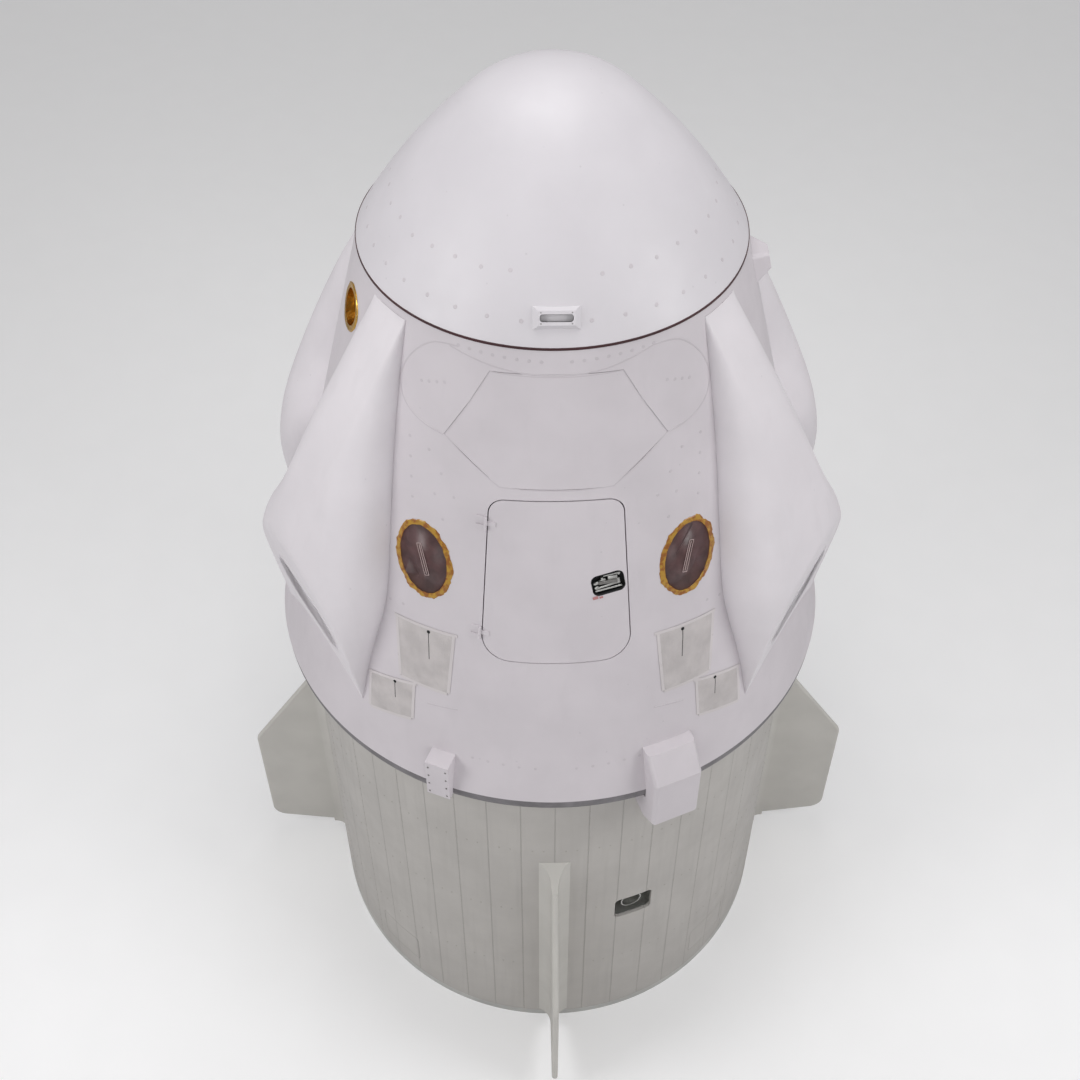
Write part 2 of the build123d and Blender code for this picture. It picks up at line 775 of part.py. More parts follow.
for index in range(strut_count):
    azimuth = index * 360 / strut_count
    lean_side = strut_swing if index % 2 else -strut_swing
    foot = polar(docking_radius + strut_foot_out, azimuth + lean_side, deck_top)
    head = polar(docking_radius - strut_radius, azimuth - lean_side, ring_top - docking_height * 0.35)
    along = head - foot
    tube = Plane(foot, z_dir=along) * Cylinder(strut_radius, along.length, align=(Align.CENTER, Align.CENTER, Align.MIN))
    tube += Pos(foot.X, foot.Y, deck_top + seat_gap) * Cylinder(
        strut_radius * 2, strut_radius, align=(Align.CENTER, Align.CENTER, Align.MIN)
    )
    tube -= disc(docking_radius + seat_gap, tunnel_top, ring_top)
    tube -= disc(rim_radius, deck_top - overrun, deck_top + seat_gap)
    struts = tube if struts is None else struts + tube
keep("docking_struts", struts)

nozzles = None
bell = turned([
    (nozzle_throat, 0), (nozzle_radius, nozzle_height), (nozzle_radius - nozzle_wall, nozzle_height),
    (nozzle_throat - nozzle_wall, nozzle_wall), (0, nozzle_wall), (0, 0),
])
bell += ring(nozzle_throat * 2, 0, 0, nozzle_wall * 2)
for index in range(nozzle_count):
    spot = polar(nozzle_ring, nozzle_azimuth + index * 360 / nozzle_count, deck_top + seat_gap)
    nozzles = Pos(spot) * bell if nozzles is None else nozzles + Pos(spot) * bell
keep("forward_nozzles", nozzles)

# Forward hatch, hinged under the tunnel's rear

lid_low = tunnel_low + seat_gap
lid = disc(lid_radius, lid_low, lid_low + lid_thickness)
lid += disc(lid_radius * 0.45, lid_low + lid_thickness - seat_gap, lid_low + lid_thickness + lid_crown)
lid_pin = Vector(0, tunnel_radius - tunnel_wall / 2, tunnel_low - lid_pin_drop)
for side in (-1, 1):
    arm = Pos(side * lid_lug_spread, (lid_radius - lid_lug_reach + lid_pin.Y) / 2, lid_pin.Z) * Box(
        lid_lug_width, lid_pin.Y - lid_radius + lid_lug_reach, lid_lug_width * 0.6
    )
    arm += Pos(side * lid_lug_spread, lid_pin.Y, lid_pin.Z) * Rot(0, 90, 0) * Cylinder(lid_lug_width * 0.42, lid_lug_width)
    block_height = lid_low - lid_pin.Z
    arm += Pos(side * lid_lug_spread, lid_radius - lid_lug_reach * 0.6, lid_pin.Z) * Box(
        lid_lug_width, lid_lug_reach * 0.8, block_height, align=(Align.CENTER, Align.CENTER, Align.MIN)
    )
    arm -= Pos(side * lid_lug_spread, lid_pin.Y, lid_pin.Z) * Rot(0, 90, 0) * Cylinder(lid_pin_radius + seat_gap, lid_lug_width * 2)
    lid += arm
keep("forward_hatch", lid)
clevis = None
for side in (-1, 1):
    piece = Pos(side * lid_lug_spread, lid_pin.Y, lid_pin.Z) * Rot(0, 90, 0) * Cylinder(lid_pin_radius, lid_lug_width * 2)
    for cheek in (-1, 1):
        spot = side * lid_lug_spread + cheek * lid_lug_width * 0.78
        piece += Pos(spot, lid_pin.Y, lid_pin.Z) * Rot(0, 90, 0) * Cylinder(lid_lug_width * 0.42, lid_lug_width * 0.4)
        piece += Pos(spot, lid_pin.Y + lid_lug_width * 0.4, lid_pin.Z) * Box(
            lid_lug_width * 0.4, lid_lug_width * 1.2, lid_pin_drop * 3, align=(Align.CENTER, Align.CENTER, Align.MIN)
        )
    piece -= disc(tunnel_radius + seat_gap, tunnel_low - seat_gap, tunnel_top)
    clevis = piece if clevis is None else clevis + piece
keep("forward_hatch_clevis", clevis)
print("forward hatch hinge", lid_pin)

# Nose cone, its blister and its hinge

seal_top = rim_level + seal_height
keep("nose_seal", ring(rim_radius + seal_proud, rim_radius - seal_depth, rim_level + seat_gap, seal_top))
nose_low = seal_top + seat_gap
start = radians(nose_start)
turn = acos((nose_side_radius * cos(start) - rim_radius) / (nose_side_radius - nose_tip_radius))
nose_height = nose_side_radius * (sin(turn) - sin(start)) + nose_tip_radius * (1 - sin(turn))


def nose_at(angle, inset=0):
    """Point (radius, level) of the nose's outline where its normal rises by an angle, moved in by an inset."""
    if angle <= turn:
        radius = rim_radius - nose_side_radius * (cos(start) - cos(angle))
        level = nose_side_radius * (sin(angle) - sin(start))
    else:
        radius = nose_tip_radius * cos(angle)
        level = nose_side_radius * (sin(turn) - sin(start)) + nose_tip_radius * (sin(angle) - sin(turn))
    return radius - inset * cos(angle), nose_low + level - inset * sin(angle)


def nose_face(inset):
    """Half outline of the nose, closed at its foot and its axis."""
    top = radians(90)
    points = [nose_at(angle, inset) for angle in (start, (start + turn) / 2, turn, (turn + top) / 2, top)]
    corners = [points[4], (0, nose_low), points[0]]
    if inset:
        foot = nose_low - overrun
        corners = [points[4], (0, foot), (points[0][0] + (points[0][1] - foot) * tan(start), foot), points[0]]
    return make_face(ThreePointArc(*points[:3]) + ThreePointArc(*points[2:]) + Polyline(*corners))


nose_solid = revolve(Plane.XZ * nose_face(0), axis=Axis.Z)
nose_space = revolve(Plane.XZ * nose_face(-seat_gap), axis=Axis.Z)
nose_cone = nose_solid - revolve(Plane.XZ * nose_face(nose_wall), axis=Axis.Z)
blister_radius, blister_height_level = nose_at(asin(blister_level / nose_side_radius + sin(start)))
blister_tilt = asin(blister_level / nose_side_radius + sin(start))
blister_plane = Plane(
    (0, -blister_radius, blister_height_level), x_dir=(1, 0, 0), z_dir=(0, -cos(blister_tilt), sin(blister_tilt))
)
keep("nose_cone", nose_cone)
blister_block = loft([
    blister_plane.offset(-overrun) * Rectangle(blister_width * 1.5, blister_height * 1.5),
    blister_plane.offset(blister_proud) * Rectangle(blister_width * 0.8, blister_height * 0.55),
], ruled=True)
slot = extrude(
    blister_plane.offset(blister_proud - slot_depth) * RectangleRounded(slot_width, slot_height, slot_height * 0.4),
    slot_depth + overrun,
)
keep("nose_blister", blister_block - nose_space - slot)

nose_pin = Vector(0, rim_radius + nose_pin_proud, rim_level + seal_height / 2)
arms = None
brackets = None
for side in (-1, 1):
    x = side * nose_lug_spread
    arm = Pos(x, nose_pin.Y, nose_pin.Z) * Rot(0, 90, 0) * Cylinder(nose_lug_radius, nose_lug_width)
    arm += Pos(x, nose_pin.Y, nose_pin.Z) * Box(
        nose_lug_width, nose_arm_reach, nose_arm_height, align=(Align.CENTER, Align.MAX, Align.MIN)
    )
    arm -= nose_solid
    arm -= disc(rim_radius * 1.03, 0, nose_low)
    arm -= Pos(x, nose_pin.Y, nose_pin.Z) * Rot(0, 90, 0) * Cylinder(nose_pin_radius + seat_gap, nose_lug_width * 2)
    arms = arm if arms is None else arms + arm
    bracket = Pos(x, nose_pin.Y, nose_pin.Z) * Rot(0, 90, 0) * Cylinder(nose_pin_radius, nose_lug_width * 2)
    for cheek in (-1, 1):
        spot = x + cheek * nose_lug_width * 0.78
        cheek_face = make_face(Polyline(
            (nose_pin.Y - nose_pin_proud * 2, nose_pin.Z - nose_lug_radius * 0.6),
            (nose_pin.Y - nose_pin_proud * 2, nose_pin.Z - nose_bracket_drop),
            (nose_pin.Y - nose_pin_proud * 0.2, nose_pin.Z - nose_bracket_drop),
            (nose_pin.Y + nose_lug_radius, nose_pin.Z), (nose_pin.Y - nose_lug_radius, nose_pin.Z), close=True,
        ))
        bracket += extrude(Plane.YZ.offset(spot) * cheek_face, nose_lug_width * 0.2, both=True)
        bracket += Pos(spot, nose_pin.Y, nose_pin.Z) * Rot(0, 90, 0) * Cylinder(nose_lug_radius, nose_lug_width * 0.4)
    bracket -= capsule_space
    bracket -= disc(rim_radius + seal_proud + seat_gap, rim_level - seat_gap, nose_low + overrun)
    brackets = bracket if brackets is None else brackets + bracket
keep("nose_hinge_arms", arms)
keep("nose_hinge_brackets", brackets)
print("nose hinge", nose_pin)

# Sensors on the skin

rim_tube = extrude(sensor_plane.offset(-port_sensor_depth + seat_gap) * Circle(port_sensor_radius - seat_gap), port_sensor_depth + overrun)
rim_tube -= extrude(sensor_plane.offset(-port_sensor_depth + port_sensor_rim) * Circle(port_sensor_radius - port_sensor_rim), port_sensor_depth + overrun * 2)
rim_tube &= skin_layer(-skin_wall * 2, window_frame_proud)
keep("sensor_port", rim_tube)
blister_base = skin_plane(blister_sensor_azimuth, blister_sensor_level)
sensor = loft([
    blister_base.offset(-overrun) * RectangleRounded(blister_sensor_width * 1.5, blister_sensor_height * 1.5, port_corner),
    blister_base.offset(blister_sensor_proud) * RectangleRounded(blister_sensor_width * 0.55, blister_sensor_height * 0.6, port_corner * 0.5),
], ruled=True)
sensor -= capsule_space
window = blister_base.offset(blister_sensor_proud * 0.5) * Pos(0, blister_sensor_height * 0.1, 0)
sensor -= extrude(window * Rectangle(blister_sensor_width * 0.28, blister_sensor_height * 0.34), blister_sensor_proud)
keep("sensor_blister", sensor)

# Fairing that bridges the capsule and the trunk, and the plate beside it

bridge_cut = capsule_space + disc(base_radius + seat_gap, band_low - seat_gap, base_level)
bridge_cut += disc(trunk_radius + seat_gap, 0, band_low)
bridge_cut += shield_space


def side_box(azimuth, low, high, width, inner, outer):
    """Block at an azimuth between two levels above the base and two radii."""
    block = Pos(0, -inner, base_level + low) * Box(
        width, outer - inner, high - low, align=(Align.CENTER, Align.MAX, Align.MIN)
    )
    return Rot(0, 0, azimuth) * block


claw_outer = base_radius + claw_proud
claw_profile = make_face(Polyline(
    (trunk_radius - overrun, claw_low + claw_slope * 0.4), (claw_outer - claw_slope * 0.8, claw_low),
    (claw_outer, claw_low + claw_slope * 0.5), (claw_outer, claw_high - claw_slope * 1.4),
    (claw_outer - claw_slope, claw_high), (trunk_radius - overrun, claw_high), close=True,
))
claw = extrude(Plane.YZ * Pos(0, base_level) * mirror(claw_profile, Plane.YZ), claw_width / 2, both=True)
claw = claw - Rot(0, 0, -claw_azimuth) * bridge_cut
claw_edges = claw.edges().filter_by(lambda e: abs(abs(e.center().X) - claw_width / 2) < seat_gap and e.center().Y < -base_radius + seat_gap * 9)
claw = fillet(claw_edges, claw_corner * 0.5)
keep("umbilical_fairing", Rot(0, 0, claw_azimuth) * claw)
umbilical = side_box(umbilical_azimuth, umbilical_low, umbilical_high, umbilical_width, trunk_radius, base_radius + umbilical_proud * 0.4)
umbilical -= bridge_cut
keep("umbilical_box", umbilical)

# Cabin

floor_top = base_level + floor_level + floor_thickness
floor_radius = skin_radius(floor_level + floor_thickness) - skin_wall - seat_gap
keep("cabin_floor", disc(floor_radius, base_level + floor_level, floor_top))
seat_line = (
    # y, level above the floor plate
    (seat_back, seat_rise + seat_shell * 3), (0, seat_rise), (-seat_pan * 0.55, seat_rise + seat_pan),
    (-seat_pan * 0.55 - seat_leg, seat_rise + seat_pan * 0.7),
)
profile_outer = [(y, z) for y, z in seat_line]
profile_inner = [(y + seat_shell * (0.2 if index else 0), z - seat_shell * 1.3) for index, (y, z) in enumerate(seat_line)]
seat_face = make_face(Polyline(*profile_outer, *reversed(profile_inner), close=True))
shell = extrude(Plane.YZ * seat_face, seat_width / 2, both=True)
seats = None
seat_frame = None
for index in range(seat_count):
    x = (index - (seat_count - 1) / 2) * seat_pitch
    piece = Pos(x, seat_setback, floor_top) * shell
    seats = piece if seats is None else seats + piece
keep("crew_seats", seats)
seat_space = None
for index in range(seat_count):
    x = (index - (seat_count - 1) / 2) * seat_pitch
    blank = make_face(Polyline(*profile_inner, *[(y, z + seat_rise * 3) for y, z in reversed(profile_inner)], close=True))
    piece = Pos(x, seat_setback, floor_top - seat_gap) * extrude(Plane.YZ * blank, seat_pitch / 2, both=True)
    seat_space = piece if seat_space is None else seat_space + piece
rails = None
for index in range(seat_count):
    x = (index - (seat_count - 1) / 2) * seat_pitch
    for share in (0.15, 0.75):
        post = Pos(x, seat_setback + seat_back * share, floor_top + seat_gap) * Box(
            seat_shell * 2, seat_shell * 2, seat_rise * 2, align=(Align.CENTER, Align.CENTER, Align.MIN)
        )
        rails = post if rails is None else rails + post
for share in (0.15, 0.75):
    rails += Pos(0, seat_setback + seat_back * share, floor_top + seat_rise * 0.4) * Box(
        seat_pitch * (seat_count - 1), seat_shell, seat_shell
    )
keep("seat_frame", rails - seat_space)
screen = Box(console_width, console_thickness, console_height)
console_place = Pos(0, console_setback, base_level + console_level) * Rot(console_tilt, 0, 0)
console = console_place * screen
for side in (-1, 0, 1):
    console -= console_place * Pos(side * console_width / 3, console_thickness / 2, 0) * Box(
        console_width * 0.28, console_thickness * 0.3, console_height * 0.8
    )
leg_top = base_level + console_level
console += Pos(0, console_setback, leg_top) * Rot(0, 90, 0) * Cylinder(console_tube, console_spread * 2)
for side in (-1, 1):
    console += Pos(side * console_spread, console_setback, floor_top + seat_gap) * Cylinder(
        console_tube * 1.3, leg_top - floor_top + console_tube, align=(Align.CENTER, Align.CENTER, Align.MIN)
    )
keep("control_console", console)

for name, shape in nodes.items():
    export_step(shape, f"parts/{name}.step")
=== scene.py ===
"""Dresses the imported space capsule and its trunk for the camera.

Metres, +Z up, the side hatch faces -Y. An azimuth is counted from -Y towards +X, in degrees.
A level is counted up from the edge of the capsule's base, a height from the floor.
"""

from __future__ import annotations

import json
import logging
import math
from collections.abc import Callable, Iterable, Sequence
from dataclasses import dataclass, field
from enum import Enum

import bmesh
import bpy
from mathutils import Matrix, Vector, noise

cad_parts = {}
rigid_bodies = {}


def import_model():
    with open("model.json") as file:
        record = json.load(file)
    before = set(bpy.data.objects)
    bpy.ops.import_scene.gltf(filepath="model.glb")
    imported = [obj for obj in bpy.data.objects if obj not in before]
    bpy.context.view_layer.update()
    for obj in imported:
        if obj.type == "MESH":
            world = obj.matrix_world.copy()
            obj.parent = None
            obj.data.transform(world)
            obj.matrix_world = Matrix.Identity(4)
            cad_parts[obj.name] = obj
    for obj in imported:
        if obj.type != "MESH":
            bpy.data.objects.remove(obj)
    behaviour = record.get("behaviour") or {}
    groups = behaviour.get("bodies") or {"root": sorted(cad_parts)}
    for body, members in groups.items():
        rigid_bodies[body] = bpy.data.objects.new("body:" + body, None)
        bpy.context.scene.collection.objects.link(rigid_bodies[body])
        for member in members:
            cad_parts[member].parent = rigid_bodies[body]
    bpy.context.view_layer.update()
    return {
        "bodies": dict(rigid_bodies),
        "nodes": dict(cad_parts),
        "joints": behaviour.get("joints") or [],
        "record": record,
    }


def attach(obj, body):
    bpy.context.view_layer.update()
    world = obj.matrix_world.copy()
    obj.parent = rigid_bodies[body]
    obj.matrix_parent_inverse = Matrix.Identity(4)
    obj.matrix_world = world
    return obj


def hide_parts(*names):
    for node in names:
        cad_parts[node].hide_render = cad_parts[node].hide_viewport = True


LOG = logging.getLogger("capsule")

Colour = tuple[float, float, float]
Spot = tuple[float, float]


class Body(Enum):
    """The bodies that pieces ride on."""

    VEHICLE = "vehicle"
    NOSE = "nose"
    HATCH = "hatch"
    LID = "tunnel_lid"


# Shape that every sub-assembly is placed on


@dataclass(frozen=True)
class CapsuleShape:
    """Main sizes of the capsule and its trunk, and places on their surfaces."""

    base_level: float = 3.5
    base_radius: float = 2.0
    rim_radius: float = 1.18
    height: float = 3.2
    trunk_radius: float = 1.84
    seal_height: float = 0.0163
    nose_start: float = 31.0
    nose_side_radius: float = 4.0
    nose_tip_radius: float = 0.75

    @property
    def lean(self) -> float:
        """Angle between the skin and the vertical, in radians."""
        return math.atan((self.base_radius - self.rim_radius) / self.height)

    @property
    def nose_turn(self) -> float:
        """Normal's rise where the nose's side arc meets its tip arc, in radians."""
        side, tip = self.nose_side_radius, self.nose_tip_radius
        return math.acos((side * math.cos(math.radians(self.nose_start)) - self.rim_radius) / (side - tip))

    def skin_radius(self, level: float) -> float:
        """Radius of the skin at a level above the base."""
        return self.base_radius - level * math.tan(self.lean)

    def skin(self, azimuth: float, level: float, lift: float = 0.0) -> Matrix:
        """Place on the skin: x to the right seen from outside, y up the skin, z outwards.

        Args:
            azimuth: Azimuth in degrees.
            level: Level above the base.
            lift: Distance outwards from the skin.

        Returns:
            The place as a matrix.
        """
        return surface_place(azimuth, self.skin_radius(level), self.base_level + level, math.degrees(self.lean), lift)

    def trunk(self, azimuth: float, height: float, lift: float = 0.0) -> Matrix:
        """Place on the trunk's skin at an azimuth and a height above the floor."""
        return surface_place(azimuth, self.trunk_radius, height, 0.0, lift)

    def nose_outline(self, rise: float) -> tuple[float, float]:
        """Radius and height of the nose's surface where its normal rises by an angle.

        Args:
            rise: Rise of the normal above the horizon, in degrees.

        Returns:
            The radius and the height above the floor.
        """
        start, angle, turn = math.radians(self.nose_start), math.radians(rise), self.nose_turn
        side, tip = self.nose_side_radius, self.nose_tip_radius
        foot = self.base_level + self.height + self.seal_height
        if angle <= turn:
            radius = self.rim_radius - side * (math.cos(start) - math.cos(angle))
            return radius, foot + side * (math.sin(angle) - math.sin(start))
        joint = side * (math.sin(turn) - math.sin(start))
        return tip * math.cos(angle), foot + joint + tip * (math.sin(angle) - math.sin(turn))

    def nose(self, azimuth: float, rise: float, lift: float = 0.0) -> Matrix:
        """Place on the nose at an azimuth, where its normal rises by an angle in degrees."""
        radius, height = self.nose_outline(rise)
        return surface_place(azimuth, radius, height, rise, lift)


def surface_place(azimuth: float, radius: float, height: float, rise: float, lift: float) -> Matrix:
    """Place on a surface of revolution.

    Args:
        azimuth: Azimuth in degrees.
        radius: Distance from the axis.
        height: Height above the floor.
        rise: Rise of the outward normal above the horizon, in degrees.
        lift: Distance outwards along the normal.

    Returns:
        A matrix with x to the right seen from outside, y up the surface and z outwards.
    """
    turn, up = math.radians(azimuth), math.radians(rise)
    across = Vector((math.cos(turn), math.sin(turn), 0.0))
    out = Vector((math.sin(turn) * math.cos(up), -math.cos(turn) * math.cos(up), math.sin(up)))
    along = out.cross(across)
    spot = Vector((radius * math.sin(turn), -radius * math.cos(turn), height)) + out * lift
    place = Matrix((across, along, out)).transposed().to_4x4()
    place.translation = spot
    return place


SHAPE = CapsuleShape()

# Finishes


class NodeSketch:
    """A material's nodes, added one after the other."""

    def __init__(self, name: str) -> None:
        """Starts a material with a principled shader."""
        self.material = bpy.data.materials.new(name)
        self.material.use_nodes = True
        self.tree = self.material.node_tree
        self.tree.nodes.clear()
        self.shader = self.tree.nodes.new("ShaderNodeBsdfPrincipled")
        output = self.tree.nodes.new("ShaderNodeOutputMaterial")
        self.tree.links.new(self.shader.outputs["BSDF"], output.inputs["Surface"])

    def place(self, scale: Sequence[float] = (1, 1, 1)) -> bpy.types.NodeSocket:
        """Object coordinates, stretched by a scale on each axis."""
        coordinates = self.tree.nodes.new("ShaderNodeTexCoord")
        mapping = self.tree.nodes.new("ShaderNodeMapping")
        mapping.inputs["Scale"].default_value = scale
        self.tree.links.new(coordinates.outputs["Object"], mapping.inputs["Vector"])
        return mapping.outputs["Vector"]

    def split(self, vector: bpy.types.NodeSocket) -> list[bpy.types.NodeSocket]:
        """The three parts of a vector."""
        node = self.tree.nodes.new("ShaderNodeSeparateXYZ")
        self.tree.links.new(vector, node.inputs[0])
        return list(node.outputs)

    def maths(self, operation: str, *values: bpy.types.NodeSocket | float) -> bpy.types.NodeSocket:
        """Result of a sum on sockets and numbers.

        Args:
            operation: Name of the operation of a Math node.
            values: Sockets or numbers, in the node's order.

        Returns:
            The output socket.
        """
        node = self.tree.nodes.new("ShaderNodeMath")
        node.operation = operation
        for socket, value in zip(node.inputs, values):
            if isinstance(value, bpy.types.NodeSocket):
                self.tree.links.new(value, socket)
            else:
                socket.default_value = value
        return node.outputs[0]

    def noise(self, size: float, detail: float = 3.0, scale: Sequence[float] = (1, 1, 1)) -> bpy.types.NodeSocket:
        """Noise whose lumps are about a size across, in metres."""
        node = self.tree.nodes.new("ShaderNodeTexNoise")
        node.inputs["Scale"].default_value = 1.0 / size
        node.inputs["Detail"].default_value = detail
        self.tree.links.new(self.place(scale), node.inputs["Vector"])
        return node.outputs[0]

    def cells(self, size: float, feature: str = "F1") -> bpy.types.NodeSocket:
        """Distance pattern of cells about a size across, in metres."""
        node = self.tree.nodes.new("ShaderNodeTexVoronoi")
        node.feature = feature
        node.inputs["Scale"].default_value = 1.0 / size
        self.tree.links.new(self.place(), node.inputs["Vector"])
        return node.outputs["Distance"]

    def span(self, value: bpy.types.NodeSocket, old: Spot, new: Spot) -> bpy.types.NodeSocket:
        """A value moved from one range to another, held at the ends."""
        node = self.tree.nodes.new("ShaderNodeMapRange")
        node.clamp = True
        self.tree.links.new(value, node.inputs["Value"])
        for name, number in zip(("From Min", "From Max", "To Min", "To Max"), (*old, *new)):
            node.inputs[name].default_value = number
        return node.outputs["Result"]

    def blend(self, share: bpy.types.NodeSocket, first: Colour | bpy.types.NodeSocket,
              second: Colour | bpy.types.NodeSocket) -> bpy.types.NodeSocket:
        """Mix of two colours by a share."""
        node = self.tree.nodes.new("ShaderNodeMix")
        node.data_type = "RGBA"
        self.tree.links.new(share, node.inputs[0])
        for socket, colour in ((node.inputs[6], first), (node.inputs[7], second)):
            if isinstance(colour, bpy.types.NodeSocket):
                self.tree.links.new(colour, socket)
            else:
                socket.default_value = (*colour, 1.0)
        return node.outputs[2]

    def relief(self, height: bpy.types.NodeSocket, depth: float) -> None:
        """Adds a bump of a depth in metres under the bumps that are already there."""
        node = self.tree.nodes.new("ShaderNodeBump")
        node.inputs["Strength"].default_value = 1.0
        node.inputs["Distance"].default_value = depth
        self.tree.links.new(height, node.inputs["Height"])
        normal = self.shader.inputs["Normal"]
        if normal.is_linked:
            self.tree.links.new(normal.links[0].from_socket, node.inputs["Normal"])
        self.tree.links.new(node.outputs["Normal"], normal)

    def feed(self, name: str, socket: bpy.types.NodeSocket) -> None:
        """Links a socket to the shader's input of a name."""
        self.tree.links.new(socket, self.shader.inputs[name])

    def azimuth(self) -> bpy.types.NodeSocket:
        """Azimuth about Z in degrees, from -Y towards +X."""
        x, y, _ = self.split(self.place())
        turn = self.maths("ARCTAN2", x, self.maths("MULTIPLY", y, -1.0))
        return self.maths("MULTIPLY", turn, 180.0 / math.pi)

    def near_line(self, value: bpy.types.NodeSocket, pitch: float, half_width: float) -> bpy.types.NodeSocket:
        """1 near the lines of an even pitch, and 0 between them."""
        wrapped = self.maths("PINGPONG", value, pitch / 2)
        return self.span(wrapped, (half_width * 0.6, half_width), (1.0, 0.0))


@dataclass(frozen=True)
class Finish:
    """A surface's colour, gloss and small relief."""

    name: str
    colour: Colour
    roughness: float = 0.5
    metallic: float = 0.0
    coat: float = 0.0
    mottle: float = 0.05
    mottle_size: float = 0.4
    grain: float = 0.0004
    grain_size: float = 0.012
    sheen: float = 0.0

    def material(self) -> bpy.types.Material:
        """The finish's material, made once."""
        known = bpy.data.materials.get(f"{self.name}_look")
        if known:
            return known
        sketch = NodeSketch(f"{self.name}_look")
        sketch.shader.inputs["Metallic"].default_value = self.metallic
        sketch.shader.inputs["Coat Weight"].default_value = self.coat
        sketch.shader.inputs["Sheen Weight"].default_value = self.sheen
        sketch.feed("Base Color", self.coloured(sketch))
        rough = sketch.span(sketch.noise(self.mottle_size * 0.3), (0.3, 0.7), (self.roughness * 0.88, self.roughness * 1.12))
        sketch.feed("Roughness", rough)
        sketch.relief(sketch.noise(self.grain_size), self.grain)
        self.carve(sketch)
        return sketch.material

    def shade(self, factor: float) -> Colour:
        """The colour made darker or lighter."""
        return tuple(min(1.0, part * factor) for part in self.colour)

    def coloured(self, sketch: NodeSketch) -> bpy.types.NodeSocket:
        """Colour with broad, faint mottling."""
        share = sketch.span(sketch.noise(self.mottle_size, 4.0), (0.35, 0.65), (0.0, 1.0))
        return sketch.blend(share, self.shade(1.0 - self.mottle), self.shade(1.0 + self.mottle * 0.6))

    def carve(self, sketch: NodeSketch) -> None:
        """Adds the relief that a finish of its own kind has."""


@dataclass(frozen=True)
class TilePaint(Finish):
    """Thermal paint over sprayed tiles, with faint streaks down the skin."""

    streak: float = 0.03

    def coloured(self, sketch: NodeSketch) -> bpy.types.NodeSocket:
        """Mottled colour with streaks that run down."""
        base = Finish.coloured(self, sketch)
        streaks = sketch.span(sketch.noise(0.12, 4.0, (1.0, 1.0, 0.12)), (0.55, 0.75), (0.0, self.streak * 10))
        stained = sketch.blend(streaks, base, self.shade(1.0 - self.streak * 3))
        specks = sketch.span(sketch.cells(0.16), (0.03, 0.045), (0.35, 0.0))
        return sketch.blend(specks, stained, self.shade(0.72))

    def carve(self, sketch: NodeSketch) -> None:
        """Adds the uneven lie of the tiles under the paint."""
        sketch.relief(sketch.noise(0.30, 2.0), 0.004)


@dataclass(frozen=True)
class SheetPaint(Finish):
    """Paint over the trunk's sheets, with seams up the wall."""

    seam_pitch: float = 7.5

    def coloured(self, sketch: NodeSketch) -> bpy.types.NodeSocket:
        """Mottled colour, darker along the seams and where water ran."""
        base = Finish.coloured(self, sketch)
        runs = sketch.span(sketch.noise(0.05, 3.0, (1.0, 1.0, 0.05)), (0.5, 0.75), (0.0, 0.5))
        stained = sketch.blend(runs, base, self.shade(0.88))
        lines = sketch.near_line(sketch.azimuth(), self.seam_pitch, 0.09)
        return sketch.blend(lines, stained, self.shade(0.74))

    def carve(self, sketch: NodeSketch) -> None:
        """Adds the seams' steps and the sheets' shallow dents."""
        lines = sketch.near_line(sketch.azimuth(), self.seam_pitch, 0.12)
        sketch.relief(sketch.maths("MULTIPLY", lines, -1.0), 0.002)
        sketch.relief(sketch.noise(0.22, 2.0), 0.003)


@dataclass(frozen=True)
class SolarCells(Finish):
    """Dark cells under a clear cover, in a grid of thin metal lines."""

    cell_turn: float = 3.48
    cell_height: float = 0.11

    def coloured(self, sketch: NodeSketch) -> bpy.types.NodeSocket:
        """Cells of slightly unlike blues between pale lines."""
        _, _, height = sketch.split(sketch.place())
        tint = sketch.span(sketch.noise(0.3, 1.0), (0.4, 0.6), (0.0, 1.0))
        cell = sketch.blend(tint, self.colour, self.shade(1.9))
        across = sketch.near_line(height, self.cell_height, 0.0028)
        around = sketch.near_line(sketch.azimuth(), self.cell_turn, 0.085)
        fingers = sketch.near_line(height, self.cell_height / 8, 0.0006)
        fine = sketch.blend(fingers, cell, self.shade(2.6))
        lines = sketch.maths("MAXIMUM", across, around)
        return sketch.blend(lines, fine, (0.34, 0.35, 0.38))


@dataclass(frozen=True)
class AblatorTiles(Finish):
    """Dark blocks of ablator with filled joints."""

    tile_size: float = 0.26

    def joints(self, sketch: NodeSketch) -> bpy.types.NodeSocket:
        """1 along the joints of the blocks."""
        x, y, _ = sketch.split(sketch.place())
        rows = sketch.near_line(x, self.tile_size, 0.006)
        columns = sketch.near_line(y, self.tile_size, 0.006)
        return sketch.maths("MAXIMUM", rows, columns)

    def coloured(self, sketch: NodeSketch) -> bpy.types.NodeSocket:
        """Mottled blocks with paler joints."""
        return sketch.blend(self.joints(sketch), Finish.coloured(self, sketch), self.shade(1.8))

    def carve(self, sketch: NodeSketch) -> None:
        """Adds the joints' grooves."""
        sketch.relief(sketch.maths("MULTIPLY", self.joints(sketch), -1.0), 0.003)


@dataclass(frozen=True)
class BrushedMetal(Finish):
    """Metal with fine marks along one axis."""

    marks: tuple[float, float, float] = (1.0, 1.0, 0.05)

    def carve(self, sketch: NodeSketch) -> None:
        """Adds the brush marks."""
        sketch.relief(sketch.noise(0.002, 2.0, self.marks), 0.0002)


